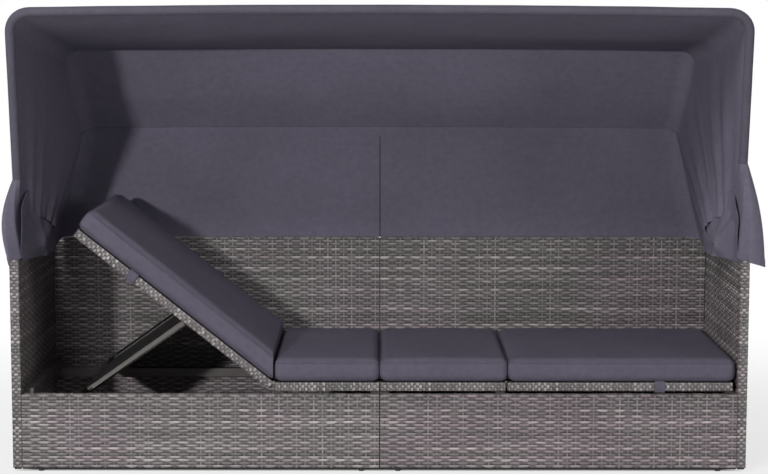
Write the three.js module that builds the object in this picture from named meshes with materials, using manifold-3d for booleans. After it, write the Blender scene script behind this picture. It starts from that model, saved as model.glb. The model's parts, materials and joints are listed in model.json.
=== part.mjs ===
// Outdoor daybed with a folding canopy. Millimetres, +Z up, +Y towards the back, floor at zero.
import * as THREE from "three";
import { mergeVertices } from "three/addons/utils/BufferGeometryUtils.js";
import Module from "manifold-3d";

const wasm = await Module();
wasm.setup();

// Driving dimensions of the whole daybed.
const overallLength = 2000;
const bodyDepth = 600;
const panelThickness = 25;
const panelHeight = 575;
const footHeight = 6;
const panelGap = 0.4;
const apronInset = 2;
const seatGap = 0.3;
const overrun = 20;
const weldDepth = 0.5;

// Steel frames inside the woven panels, and their feet.
const frameTube = 18;
const frameWall = 1.2;
const channelClearance = 0.3;
const footStemRadius = 4;
const footStemLength = 5;
const footRadius = 7.5;
const footPortClearance = 0.4;
const footFromArm = 50;
const footFromSeam = 50;
const drainRadius = 3;

// Ladder frames that carry the seat.
const railTube = 25;
const railWall = 1.5;
const railSetback = 65;
const seatBarRise = 28.5;
const lugWidth = 30;
const lugPlaceShares = [0.08, 0.5, 0.92];
const rackValleys = 5;
const rackPitch = 32;
const rackToothHeight = 3.6;
const rackToothWidth = 12;
const rackBase = 1.2;
const rackWidth = 18;

// Woven seat slabs: a fixed deck and a lift panel on each side.
const slabThickness = 23;
const slabTopHeight = 244;
const slabAboveApron = 31;
const slabFrontInset = 15;
const slabBackInset = 38;
const leftDeckLength = 287;
const rightDeckLength = 343.5;
const hingeGap = 5;
const panelArmGap = 12;
const restRaise = 38.57;

// Piano hinges between the decks and the lift panels.
const hingeAxisDrop = 2;
const knuckleRadius = 2.2;
const hingePinRadius = 1;
const hingeBoreRadius = 1.25;
const leafThickness = 1;
const leafHeight = 16;
const hingeEndInset = 23.5;
const knuckleCount = 5;
const knuckleGap = 0.6;

// Props that hold the lift panels up.
const propTube = 19;
const propWall = 1.5;
const propOverhang = 29.5;
const propDrop = 12;
const propBendRadius = 30;
const propPivotShare = 0.4375;
const propLengthShare = 0.4902;
const propFoldedAngle = 0.1;
const propRatio = 1.916;
const propRodRadius = 6;
const propLegTail = 7;
const propSheetThickness = 1.5;
const propSheetTopGap = 24;
const earThickness = 4;
const earRadius = 14;
const earSpread = 300;
const earBoreClearance = 0.5;

// Cushions.
const cushionThickness = 66;
const cushionBackGap = 13;
const cushionFrontInset = 10;
const cushionArmGap = 4;
const cushionSeamGap = 1;
const leftCushionLap = 0.5;
const rightCushionLap = 6;
const cushionCrown = 7;
const cushionDraw = 3;
const cushionCornerRadius = 22;
const cushionEdgeRadius = 11;
const cushionLift = 0.4;
const cushionRingShares = [0.82, 0.55, 0.25];

// Canopy hoops on their pivots.
const hoopTube = 20;
const hoopWall = 1.5;
const hoopLength = 676;
const hoopCornerRadius = 57;
const hoopArch = 8;
const hoopSplay = 18;
const hoopStart = 45;
const pivotRise = 23;
const pivotSetback = 89;
const frontHoopAngle = -18.1;
const middleHoopAngle = 36.8;
const rearHoopAngle = 64;
const hoopSideGap = 2;
const eyeThickness = 6;
const eyeWidth = 24;
const eyeOverlap = 15;
const bossRadius = 8;

// Pivot brackets and their bolts.
const bracketLength = 60;
const bracketOverhang = 4;
const bracketPlate = 3;
const bracketTopMargin = 12;
const bracketWeb = 26;
const boltRadius = 4;
const boltClearance = 0.4;
const boltHeadRadius = 7.5;
const boltHeadHeight = 5.5;
const nutHeight = 6.5;
const boltTail = 2;

// Bolts that join the two halves.
const moduleBoltRadius = 4;
const moduleBoltHeadRadius = 7;
const moduleBoltHeadHeight = 4;
const moduleBoltSpread = 300;

// Canopy cloth.
const clothThickness = 1.6;
const clothGap = 0.3;
const clothEdgeGap = 2;
const clothSlantRoom = 8;
const clothStart = 92;
const clothSag = 12;
const clothFold = 9;
const clothFolds = 2;
const hemLift = -0.3;
const hemInset = 18;
const hemRearInset = 12;
const flapTop = 215;
const flapBottom = 62;
const flapFrontInset = 6;
const flapFrontBulge = 24;
const flapHemDrop = 3;
const flapOutset = 2;
const flapWave = 7;
const flapTopThickness = 9.6;

// Heights and places that follow from the sizes above.
const halfLength = overallLength / 2;
const halfDepth = bodyDepth / 2;
const armInnerFace = halfLength - panelThickness;
const armTop = footHeight + panelHeight;
const backTop = footHeight + panelHeight;
const apronTop = slabTopHeight - slabAboveApron;
const backInnerFace = halfDepth - panelThickness;
const backCentreDepth = halfDepth - panelThickness / 2;
const apronCentreDepth = -halfDepth + apronInset + panelThickness / 2;
const apronInnerFace = -halfDepth + apronInset + panelThickness;
const edgeCover = (panelThickness - frameTube) / 2;
const slabBottomHeight = slabTopHeight - slabThickness;
const slabCover = (slabThickness - frameTube) / 2;
const slabFront = -halfDepth + slabFrontInset;
const slabBack = halfDepth - slabBackInset;
const hingeAxisHeight = slabTopHeight - hingeAxisDrop;
const hingeDepth = (slabFront + slabBack) / 2;
const hingeLength = slabBack - slabFront - 2 * hingeEndInset;
const railTopHeight = slabBottomHeight - seatBarRise;
const railSpread = bodyDepth - 2 * railSetback;
const propWidth = railSpread + 2 * propOverhang;
const cushionDepth = bodyDepth - panelThickness - cushionFrontInset - cushionBackGap;
const propPivotFall = hingeAxisHeight - slabBottomHeight + propDrop;
const pivotHeight = armTop + pivotRise;
const pivotDepth = -pivotSetback;
const bracketInner = armInnerFace + bracketPlate;
const bracketOuter = halfLength + bracketOverhang;

const sides = ["left", "right"];
const signs = { left: -1, right: 1 };
const deckLengths = { left: leftDeckLength, right: rightDeckLength };
const deckCushionReaches = {
  left: leftDeckLength + leftCushionLap,
  right: rightDeckLength + rightCushionLap,
};
const panelEnd = armInnerFace - panelArmGap;

const roundSides = 16;
const boltSides = 12;
const knuckleSides = 10;
const pinSides = 8;
const hexSides = 6;
const tubeSegments = 5;
const hoopSteps = { leg: 1, corner: 5, top: 4 };
const clothSteps = { leg: 7, corner: 3, top: 6 };
const goreRowCounts = { front: 8, middle: 5, rear: 6 };
const flapRowCount = 8;
const flapColumnCount = 6;
const flapWaveCount = 3;

const steel = { color: 0x35343a, roughness: 0.35, metalness: 0.8 };
const zinc = { color: 0xb9b9b9, roughness: 0.3, metalness: 1 };
const rattan = { color: 0x8d8782, roughness: 0.75, metalness: 0 };
const fabric = { color: 0x4e4a58, roughness: 0.95, metalness: 0 };
const plastic = { color: 0x141414, roughness: 0.6, metalness: 0 };

function radians(degrees) {
  return THREE.MathUtils.degToRad(degrees);
}

function addPiece(parent, name, geometry, finish) {
  const piece = new THREE.Mesh(geometry, new THREE.MeshStandardMaterial(finish));
  piece.name = name;
  parent.add(piece);
}

// A geometry as a closed solid that can be joined and cut.
function solidFrom(geometry) {
  const plain = geometry.clone();
  plain.deleteAttribute("normal");
  plain.deleteAttribute("uv");
  const merged = mergeVertices(plain);
  const vertProperties = merged.attributes.position.array;
  const triVerts = new Uint32Array(merged.index.array);
  return new wasm.Manifold(new wasm.Mesh({ numProp: 3, vertProperties, triVerts }));
}

function geometryFrom(solid) {
  const cut = solid.getMesh();
  const geometry = new THREE.BufferGeometry();
  geometry.setAttribute("position", new THREE.BufferAttribute(cut.vertProperties, 3));
  geometry.setIndex(new THREE.BufferAttribute(cut.triVerts, 1));
  geometry.computeVertexNormals();
  return geometry;
}

function join(solids) {
  return solids.reduce((whole, next) => whole.add(next));
}

function boxSolid(low, high) {
  const size = high.map((value, axis) => value - low[axis]);
  const middle = high.map((value, axis) => (value + low[axis]) / 2);
  return solidFrom(new THREE.BoxGeometry(...size).translate(...middle));
}

// A box whose ends along the length are given by their distance from the middle, on either side.
function sidedBox(sign, near, far, low, high) {
  const ends = [sign * near, sign * far].sort((first, second) => first - second);
  return boxSolid([ends[0], ...low], [ends[1], ...high]);
}

function grown(box, amount) {
  return {
    low: box.low.map((value) => value - amount),
    high: box.high.map((value) => value + amount),
  };
}

// A round rod, or one with few sides such as a hexagon, between two points.
function rodSolid(start, end, radius, segments = roundSides) {
  const from = new THREE.Vector3(...start);
  const along = new THREE.Vector3(...end).sub(from);
  const upright = new THREE.Vector3(0, 1, 0);
  const turn = new THREE.Quaternion().setFromUnitVectors(upright, along.clone().normalize());
  const middle = from.addScaledVector(along, 1 / 2);
  const rod = new THREE.CylinderGeometry(radius, radius, along.length(), segments);
  return solidFrom(rod.applyQuaternion(turn).translate(middle.x, middle.y, middle.z));
}

// A path through given points, with one section of the tube at each of them.
class TubePath extends THREE.Curve {
  constructor(points) {
    super();
    this.points = points;
  }
  getUtoTmapping(share) {
    return share;
  }
  getPoint(share, target = new THREE.Vector3()) {
    const last = this.points.length - 1;
    const place = Math.min(Math.max(share, 0), 1) * last;
    const index = Math.min(Math.floor(place), last - 1);
    return target.lerpVectors(this.points[index], this.points[index + 1], place - index);
  }
  getTangent(share, target = new THREE.Vector3()) {
    const last = this.points.length - 1;
    const index = Math.round(Math.min(Math.max(share, 0), 1) * last);
    const here = this.points[index];
    const incoming = here.clone().sub(this.points[Math.max(index - 1, 0)]).normalize();
    const outgoing = this.points[Math.min(index + 1, last)].clone().sub(here).normalize();
    return target.copy(incoming.add(outgoing).normalize());
  }
}

// A bent round tube with open ends.
function tubeSolid(points, radius, wall) {
  const section = new THREE.Shape().absarc(0, 0, radius, 0, 2 * Math.PI);
  section.holes.push(new THREE.Path().absarc(0, 0, radius - wall, 0, 2 * Math.PI, true));
  const extrudePath = new TubePath(points);
  const steps = points.length - 1;
  const options = { steps, extrudePath, curveSegments: tubeSegments };
  return solidFrom(new THREE.ExtrudeGeometry(section, options));
}

// Square tubes welded into one frame, hollow inside, with its ports cut through the wall.
function weldedFrame(members, wall, ports) {
  const outside = join(members.map((box) => boxSolid(box.low, box.high)));
  const cores = members.map((box) => grown(box, -wall));
  const inside = join(cores.map((box) => boxSolid(box.low, box.high)));
  return outside.subtract(join([inside, ...ports]));
}

// The tubes of a rectangular frame in one plane, square to its thin axis, with extra uprights.
function frameMembers(low, high, thin, uprights) {
  const [across, along] = [0, 1, 2].filter((axis) => axis !== thin);
  const members = [];
  const addMember = (axis, start, end) => {
    const box = { low: [...low], high: [...high] };
    box.low[axis] = start;
    box.high[axis] = end;
    members.push(box);
  };
  for (const axis of [along, across]) {
    addMember(axis, low[axis], low[axis] + frameTube);
    addMember(axis, high[axis] - frameTube, high[axis]);
  }
  for (const place of uprights) {
    addMember(across, place - frameTube / 2, place + frameTube / 2);
  }
  return members;
}

// The weave round a frame, with the channel of the frame open below the bare tubes.
function weaveSolid(low, high, members, bareMembers) {
  const rooms = members.map((box) => grown(box, channelClearance));
  const slots = bareMembers.map((box) => {
    const slot = grown(box, channelClearance);
    slot.low[2] -= overrun;
    return slot;
  });
  const channel = join([...rooms, ...slots].map((box) => boxSolid(box.low, box.high)));
  return boxSolid(low, high).subtract(channel);
}

// An upright woven panel and the frame inside it, whose bottom tube is bare underneath.
function addUprightPanel(parent, kind, side, low, high, thin, ports) {
  const frameLow = low.map((value) => value + edgeCover);
  const frameHigh = high.map((value) => value - edgeCover);
  frameLow[2] = low[2];
  const across = thin === 0 ? 1 : 0;
  const middle = (frameLow[across] + frameHigh[across]) / 2;
  const members = frameMembers(frameLow, frameHigh, thin, [middle]);
  const frame = weldedFrame(members, frameWall, ports);
  addPiece(parent, `${kind}_frame_${side}`, geometryFrom(frame), steel);
  const weave = weaveSolid(low, high, members, [members[0]]);
  addPiece(parent, `${kind}_weave_${side}`, geometryFrom(weave), rattan);
}

function addArm(parent, side) {
  const faces = [signs[side] * halfLength, signs[side] * armInnerFace].sort((a, b) => a - b);
  const low = [faces[0], -halfDepth, footHeight];
  const high = [faces[1], halfDepth, armTop];
  const middle = (faces[0] + faces[1]) / 2;
  const port = verticalPort(middle, 0, drainRadius);
  addUprightPanel(parent, "arm", side, low, high, 0, [port]);
}

// A hole up through the bottom tube of an upright frame.
function verticalPort(place, depth, radius) {
  const top = footHeight + frameTube / 2;
  return rodSolid([place, depth, footHeight - overrun], [place, depth, top], radius);
}

// Where the feet of one half stand along the length.
function footPlaces(side) {
  return [signs[side] * footFromSeam, signs[side] * (armInnerFace - footFromArm)];
}

function footPorts(side, depth) {
  const radius = footStemRadius + footPortClearance;
  return footPlaces(side).map((place) => verticalPort(place, depth, radius));
}

// The back and the front apron of one half, between the arm and the centre seam.
function addBackAndApron(parent, side) {
  const ends = [signs[side] * panelGap, signs[side] * (armInnerFace - panelGap)];
  ends.sort((first, second) => first - second);
  const backLow = [ends[0], backInnerFace, footHeight];
  const backHigh = [ends[1], halfDepth, backTop];
  addUprightPanel(parent, "back", side, backLow, backHigh, 1, footPorts(side, backCentreDepth));
  const apronLow = [ends[0], apronInnerFace - panelThickness, footHeight];
  const apronHigh = [ends[1], apronInnerFace, apronTop];
  addUprightPanel(parent, "apron", side, apronLow, apronHigh, 1, footPorts(side, apronCentreDepth));
}

// A plastic glide with its stem in the frame tube.
function addFoot(parent, name, place, depth) {
  const top = footHeight - seatGap;
  const head = rodSolid([place, depth, 0], [place, depth, top], footRadius);
  const stemEnd = top + footStemLength;
  const stem = rodSolid([place, depth, top - weldDepth], [place, depth, stemEnd], footStemRadius);
  addPiece(parent, name, geometryFrom(join([head, stem])), plastic);
}

function addFeet(parent, side) {
  footPlaces(side).forEach((place, index) => {
    const spot = index === 0 ? "inner" : "outer";
    addFoot(parent, `foot_front_${side}_${spot}`, place, apronCentreDepth);
    addFoot(parent, `foot_rear_${side}_${spot}`, place, backCentreDepth);
  });
}

// Distance of the hinge axis from the centre seam.
function hingeReach(side) {
  return deckLengths[side] + hingeGap / 2;
}

// Length of a lift panel from its hinge axis.
function panelReach(side) {
  return panelEnd - hingeReach(side);
}

function propPivotReach(side) {
  return propPivotShare * panelReach(side);
}

function propLength(side) {
  return propLengthShare * panelReach(side);
}

// How far from the centre seam the prop's foot stands when the panel is raised.
function footReach(side) {
  const raise = radians(restRaise);
  const swing = radians(propFoldedAngle + propRatio * restRaise) - raise;
  const pivot = propPivotReach(side) * Math.cos(raise) + propPivotFall * Math.sin(raise);
  return hingeReach(side) + pivot + propLength(side) * Math.cos(swing);
}

// The toothed strip on a rail that stops the prop's foot.
function rackSolid(sign, reach, depth) {
  const seat = railTopHeight + rackBase;
  const half = (rackValleys * rackPitch) / 2;
  const strip = new THREE.Shape();
  strip.moveTo(-half, railTopHeight - weldDepth);
  strip.lineTo(half, railTopHeight - weldDepth);
  strip.lineTo(half, seat);
  for (let tooth = rackValleys - 1; tooth > 0; tooth -= 1) {
    const middle = tooth * rackPitch - half;
    strip.lineTo(middle + rackToothWidth / 2, seat);
    strip.lineTo(middle, seat + rackToothHeight);
    strip.lineTo(middle - rackToothWidth / 2, seat);
  }
  strip.lineTo(-half, seat);
  const rack = new THREE.ExtrudeGeometry(strip, { depth: rackWidth, bevelEnabled: false });
  return solidFrom(rack.rotateX(Math.PI / 2).translate(sign * reach, depth + rackWidth / 2, 0));
}

// The rails and cross bars of one half, hollow, as boxes.
function seatFrameMembers(sign, side) {
  const members = [];
  const addMember = (near, far, low, high) => {
    const ends = [sign * near, sign * far].sort((first, second) => first - second);
    members.push({ low: [ends[0], ...low], high: [ends[1], ...high] });
  };
  const outer = armInnerFace - seatGap;
  const railBottom = railTopHeight - railTube;
  const railOffset = railTube / 2;
  for (const depth of [-railSpread / 2, railSpread / 2]) {
    const low = [depth - railOffset, railBottom];
    addMember(panelGap, outer, low, [depth + railOffset, railTopHeight]);
  }
  const barLow = [-railSpread / 2 - railOffset, railTopHeight - weldDepth];
  const barHigh = [railSpread / 2 + railOffset, slabBottomHeight - seatGap];
  for (const near of [panelGap, deckLengths[side] - railTube, outer - railTube]) {
    addMember(near, near + railTube, barLow, barHigh);
  }
  return members;
}

// Short lugs between the rails and the panels in front of and behind them.
function lugSolids(sign) {
  const length = armInnerFace - panelGap;
  const railBottom = railTopHeight - railTube;
  const frontFace = -railSpread / 2 - railTube / 2 + weldDepth;
  const rearFace = railSpread / 2 + railTube / 2 - weldDepth;
  return lugPlaceShares.flatMap((share) => {
    const near = panelGap + share * (length - lugWidth);
    const frontLow = [apronInnerFace + seatGap, railBottom];
    const rearHigh = [backInnerFace - seatGap, railTopHeight];
    return [
      sidedBox(sign, near, near + lugWidth, frontLow, [frontFace, railTopHeight]),
      sidedBox(sign, near, near + lugWidth, [rearFace, railBottom], rearHigh),
    ];
  });
}

function moduleBoltHeight() {
  return (railTopHeight + slabBottomHeight - seatGap) / 2;
}

function addSeatFrame(parent, side) {
  const sign = signs[side];
  const members = seatFrameMembers(sign, side);
  const frame = weldedFrame(members, railWall, []);
  const racks = [-railSpread / 2, railSpread / 2].map((depth) => rackSolid(sign, footReach(side), depth));
  const boltReach = railTube + overrun;
  const boltHoles = [-moduleBoltSpread / 2, moduleBoltSpread / 2].map((depth) => {
    const height = moduleBoltHeight();
    const radius = moduleBoltRadius + boltClearance;
    return rodSolid([-boltReach, depth, height], [boltReach, depth, height], radius);
  });
  const drains = members.slice(0, 2).map((rail) => {
    const depth = (rail.low[1] + rail.high[1]) / 2;
    const place = (rail.low[0] + rail.high[0]) / 2;
    const bottom = railTopHeight - railTube;
    return rodSolid([place, depth, bottom - overrun], [place, depth, bottom + railTube / 2], drainRadius);
  });
  const barDrains = members.slice(2).map((bar) => {
    const place = (bar.low[0] + bar.high[0]) / 2;
    const bottom = bar.low[2];
    return rodSolid([place, 0, bottom - overrun], [place, 0, bottom + railTube / 2], drainRadius);
  });
  const holes = join([...boltHoles, ...drains, ...barDrains]);
  const whole = join([frame, ...racks, ...lugSolids(sign)]).subtract(holes);
  addPiece(parent, `seat_frame_${side}`, geometryFrom(whole), steel);
}

// A bolt with its head and nut, through the two centre bars.
function addModuleBolt(parent, name, depth) {
  const height = moduleBoltHeight();
  const face = panelGap + railTube + seatGap;
  const end = face + moduleBoltHeadHeight;
  const shank = rodSolid([-end, depth, height], [end, depth, height], moduleBoltRadius, boltSides);
  const head = rodSolid([-end, depth, height], [-face, depth, height], moduleBoltHeadRadius, hexSides);
  const nut = rodSolid([face, depth, height], [end, depth, height], moduleBoltHeadRadius, hexSides);
  addPiece(parent, name, geometryFrom(join([shank, head, nut])), zinc);
}

// A woven slab and the frame in its underside, with what is welded to the frame.
function addSlab(parent, kind, side, low, high, uprights, welded, finishPort) {
  const frameLow = [low[0] + edgeCover, low[1] + edgeCover, low[2]];
  const frameHigh = [high[0] - edgeCover, high[1] - edgeCover, low[2] + frameTube];
  const members = frameMembers(frameLow, frameHigh, 2, uprights);
  const hollow = weldedFrame(members, frameWall, [finishPort]);
  addPiece(parent, `${kind}_frame_${side}`, geometryFrom(join([hollow, ...welded])), steel);
  addPiece(parent, `${kind}_weave_${side}`, geometryFrom(weaveSolid(low, high, members, members)), rattan);
}

// A drain hole in the underside of a slab's frame.
function slabPort(place, depth, bottom) {
  return rodSolid([place, depth, bottom - overrun], [place, depth, bottom + frameTube / 2], drainRadius);
}

function addDeck(parent, side) {
  const ends = [signs[side] * panelGap, signs[side] * deckLengths[side]].sort((a, b) => a - b);
  const low = [ends[0], slabFront, slabBottomHeight];
  const high = [ends[1], slabBack, slabTopHeight];
  const middle = (ends[0] + ends[1]) / 2;
  const port = slabPort(middle, hingeDepth, slabBottomHeight);
  addSlab(parent, "deck", side, low, high, [middle], [], port);
}

// One leaf of a piano hinge round an axis at the origin, on the side that sign names.
function leafSolid(sign, ownKnuckles) {
  const outer = hingeGap / 2 - seatGap;
  const inner = outer - leafThickness;
  const step = hingeLength / knuckleCount;
  const start = hingeDepth - hingeLength / 2;
  const shoulder = -knuckleRadius - knuckleGap;
  const leafLow = [start, -leafHeight];
  let leaf = sidedBox(sign, inner, outer, leafLow, [start + hingeLength, shoulder]);
  for (const index of ownKnuckles) {
    const from = start + index * step + knuckleGap / 2;
    const to = from + step - knuckleGap;
    const knuckle = rodSolid([0, from, 0], [0, to, 0], knuckleRadius, knuckleSides);
    const web = sidedBox(sign, inner, outer, [from, shoulder - weldDepth], [to, 0]);
    const bore = rodSolid([0, from - knuckleGap, 0], [0, to + knuckleGap, 0], hingeBoreRadius, knuckleSides);
    leaf = leaf.add(join([knuckle, web])).subtract(bore);
  }
  return leaf;
}

function knuckleIndexes(first) {
  return Array.from({ length: knuckleCount }, (_, index) => index).filter((index) => index % 2 === first);
}

function addHinge(parent, side) {
  const hinge = new THREE.Group();
  hinge.position.set(signs[side] * hingeReach(side), 0, hingeAxisHeight);
  parent.add(hinge);
  const leaf = leafSolid(-signs[side], knuckleIndexes(0));
  addPiece(hinge, `hinge_deck_leaf_${side}`, geometryFrom(leaf), zinc);
  const half = hingeLength / 2;
  const pin = rodSolid([0, hingeDepth - half, 0], [0, hingeDepth + half, 0], hingePinRadius, pinSides);
  addPiece(hinge, `hinge_pin_${side}`, geometryFrom(pin), zinc);
}

// The outline of a cushion from above: a rounded rectangle whose sides pull in between corners.
function cushionOutline(halfX, halfY) {
  const points = [];
  const sideSteps = 7;
  const cornerSteps = 3;
  const straightX = halfX - cushionCornerRadius;
  const straightY = halfY - cushionCornerRadius;
  for (let quarter = 0; quarter < 4; quarter += 1) {
    const turn = (quarter * Math.PI) / 2;
    const [run, reach] = quarter % 2 === 0 ? [straightY, halfX] : [straightX, halfY];
    const place = (radial, tangential) => {
      const x = Math.cos(turn) * radial - Math.sin(turn) * tangential;
      const y = Math.sin(turn) * radial + Math.cos(turn) * tangential;
      points.push([x, y]);
    };
    for (let step = 0; step < sideSteps; step += 1) {
      const share = step / sideSteps;
      place(reach - cushionDraw * Math.sin(share * Math.PI), run * (2 * share - 1));
    }
    const centre = reach - cushionCornerRadius;
    for (let step = 0; step < cornerSteps; step += 1) {
      const angle = (step / cornerSteps) * (Math.PI / 2);
      const radial = centre + cushionCornerRadius * Math.cos(angle);
      place(radial, run + cushionCornerRadius * Math.sin(angle));
    }
  }
  return points;
}

// Each ring of a cushion: how far it lies in from the edge, its size, and its height.
function cushionRings() {
  const rings = [];
  const radius = cushionEdgeRadius;
  const edgeTop = cushionThickness - cushionCrown;
  const steps = 3;
  for (const share of [...cushionRingShares].reverse()) {
    rings.push({ inset: radius, share, height: 0 });
  }
  for (let step = 0; step <= steps; step += 1) {
    const angle = (step / steps) * (Math.PI / 2);
    const inset = radius * (1 - Math.sin(angle));
    rings.push({ inset, share: 1, height: radius * (1 - Math.cos(angle)) });
  }
  for (let step = 0; step <= steps; step += 1) {
    const angle = (step / steps) * (Math.PI / 2);
    const inset = radius * (1 - Math.cos(angle));
    rings.push({ inset, share: 1, height: edgeTop - radius * (1 - Math.sin(angle)) });
  }
  for (const share of cushionRingShares) {
    const crown = cushionCrown * (1 - share ** 2);
    rings.push({ inset: radius, share, height: edgeTop + crown });
  }
  return rings;
}

// A crowned cushion between two places along x, lying on bottom, cut back by trim.
function cushionGeometry(from, to, bottom, trim) {
  const halfX = Math.abs(to - from) / 2;
  const halfY = cushionDepth / 2;
  const middleX = (from + to) / 2;
  const middleY = -halfDepth + cushionFrontInset + halfY;
  const outline = cushionOutline(halfX, halfY);
  const rings = cushionRings();
  const positions = [];
  const addPoint = (x, y, height) => {
    const z = bottom + height;
    positions.push(trim(middleX + x, z), middleY + y, z);
  };
  addPoint(0, 0, 0);
  for (const ring of rings) {
    const scaleX = ring.share * (1 - ring.inset / halfX);
    const scaleY = ring.share * (1 - ring.inset / halfY);
    outline.forEach(([x, y]) => addPoint(x * scaleX, y * scaleY, ring.height));
  }
  addPoint(0, 0, cushionThickness);
  const count = outline.length;
  const top = rings.length * count + 1;
  const faces = [];
  for (let index = 0; index < count; index += 1) {
    const next = (index + 1) % count;
    faces.push(0, 1 + next, 1 + index);
    for (let ring = 0; ring < rings.length - 1; ring += 1) {
      const low = 1 + ring * count;
      const high = low + count;
      faces.push(low + index, low + next, high + next, low + index, high + next, high + index);
    }
    faces.push(top, top - count + index, top - count + next);
  }
  return closedGeometry(positions, faces);
}

function closedGeometry(positions, faces) {
  const geometry = new THREE.BufferGeometry();
  geometry.setAttribute("position", new THREE.Float32BufferAttribute(positions, 3));
  geometry.setIndex(faces);
  geometry.computeVertexNormals();
  return geometry;
}

function addDeckCushion(parent, side) {
  const sign = signs[side];
  const from = sign * (cushionSeamGap / 2);
  const to = sign * deckCushionReaches[side];
  const geometry = cushionGeometry(from, to, slabTopHeight + cushionLift, (x) => x);
  addPiece(parent, `cushion_deck_${side}`, geometry, fabric);
}

// The cushion on a lift panel, in the panel's frame. Its hinge end meets the deck cushion's end.
function addPanelCushion(panel, side, raise) {
  const sign = signs[side];
  const near = deckCushionReaches[side] + cushionSeamGap - hingeReach(side);
  const far = armInnerFace - cushionArmGap - hingeReach(side);
  const trim = (x, z) => {
    const outward = sign * x;
    const limit = (near + z * Math.sin(raise)) / Math.cos(raise);
    return sign * Math.max(outward, limit);
  };
  const bottom = slabTopHeight + cushionLift - hingeAxisHeight;
  const geometry = cushionGeometry(sign * near, sign * far, bottom, trim);
  addPiece(panel, `cushion_panel_${side}`, geometry, fabric);
}

// Two ears under a panel's frame, with bores for the prop's rod.
function earSolids(place, frameBottom) {
  const height = -propPivotFall;
  return [-earSpread / 2, earSpread / 2].map((spread) => {
    const from = spread - earThickness / 2;
    const to = from + earThickness;
    const round = rodSolid([place, from, height], [place, to, height], earRadius);
    const half = frameTube / 2;
    const high = [place + half, to, frameBottom + weldDepth];
    const plate = boxSolid([place - half, from, height], high);
    const boreEnds = [from - overrun, to + overrun];
    const radius = propRodRadius + earBoreClearance;
    const bore = rodSolid([place, boreEnds[0], height], [place, boreEnds[1], height], radius);
    return join([round, plate]).subtract(bore);
  });
}

// A lift panel with its hinge leaf, cushion and prop, turned about the hinge axis.
function addLiftPanel(parent, side, raise) {
  const sign = signs[side];
  const panel = new THREE.Group();
  panel.position.set(sign * hingeReach(side), 0, hingeAxisHeight);
  panel.rotation.y = -sign * raise;
  parent.add(panel);
  const ends = [sign * (hingeGap / 2), sign * panelReach(side)].sort((a, b) => a - b);
  const bottom = slabBottomHeight - hingeAxisHeight;
  const low = [ends[0], slabFront, bottom];
  const high = [ends[1], slabBack, slabTopHeight - hingeAxisHeight];
  const place = sign * propPivotReach(side);
  const port = slabPort(place, hingeDepth, bottom);
  addSlab(panel, "panel", side, low, high, [place], earSolids(place, bottom), port);
  const leaf = leafSolid(sign, knuckleIndexes(1));
  addPiece(panel, `hinge_panel_leaf_${side}`, geometryFrom(leaf), zinc);
  addPanelCushion(panel, side, raise);
  addProp(panel, side, raise);
}

// The bent tube of a prop, from one leg's open end round the foot to the other's.
function propPoints(sign, length) {
  const half = (propWidth - propTube) / 2;
  const points = [new THREE.Vector3(-sign * propLegTail, -half, 0)];
  const bendSteps = 4;
  for (const turn of [-1, 1]) {
    for (let step = 0; step <= bendSteps; step += 1) {
      const share = turn < 0 ? step / bendSteps : 1 - step / bendSteps;
      const angle = share * (Math.PI / 2);
      const out = length - propBendRadius * (1 - Math.sin(angle));
      const across = half - propBendRadius * (1 - Math.cos(angle));
      points.push(new THREE.Vector3(sign * out, turn * across, 0));
    }
  }
  points.push(new THREE.Vector3(-sign * propLegTail, half, 0));
  return points;
}

// The thin sheet that fills a prop's frame.
function propSheetGeometry(sign, length) {
  const half = propWidth / 2 - propTube - seatGap;
  const end = length - propTube / 2 - seatGap;
  const corner = propBendRadius;
  const outline = new THREE.Shape();
  outline.moveTo(sign * propSheetTopGap, -half);
  outline.lineTo(sign * (end - corner), -half);
  outline.lineTo(sign * end, corner - half);
  outline.lineTo(sign * end, half - corner);
  outline.lineTo(sign * (end - corner), half);
  outline.lineTo(sign * propSheetTopGap, half);
  const sheet = new THREE.ExtrudeGeometry(outline, { depth: propSheetThickness, bevelEnabled: false });
  return sheet.translate(0, 0, -propSheetThickness / 2);
}

function addProp(panel, side, raise) {
  const sign = signs[side];
  const length = propLength(side);
  const prop = new THREE.Group();
  prop.position.set(sign * propPivotReach(side), 0, -propPivotFall);
  prop.rotation.y = sign * (radians(propFoldedAngle) + propRatio * raise);
  panel.add(prop);
  const legs = tubeSolid(propPoints(sign, length), propTube / 2, propWall);
  const half = (propWidth - propTube) / 2;
  const rod = rodSolid([0, -half, 0], [0, half, 0], propRodRadius, boltSides);
  addPiece(prop, `prop_frame_${side}`, geometryFrom(join([legs, rod])), steel);
  addPiece(prop, `prop_sheet_${side}`, propSheetGeometry(sign, length), steel);
}

// Half widths of the hoops at their pivots. The front hoop runs outside the brackets.
function hoopWidths() {
  const front = bracketOuter + hoopSideGap / 2 + eyeThickness / 2;
  const middle = bracketInner - hoopTube / 2 - hoopSideGap / 2;
  const rear = middle - hoopTube - hoopSideGap;
  return { front, middle, rear };
}

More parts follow.
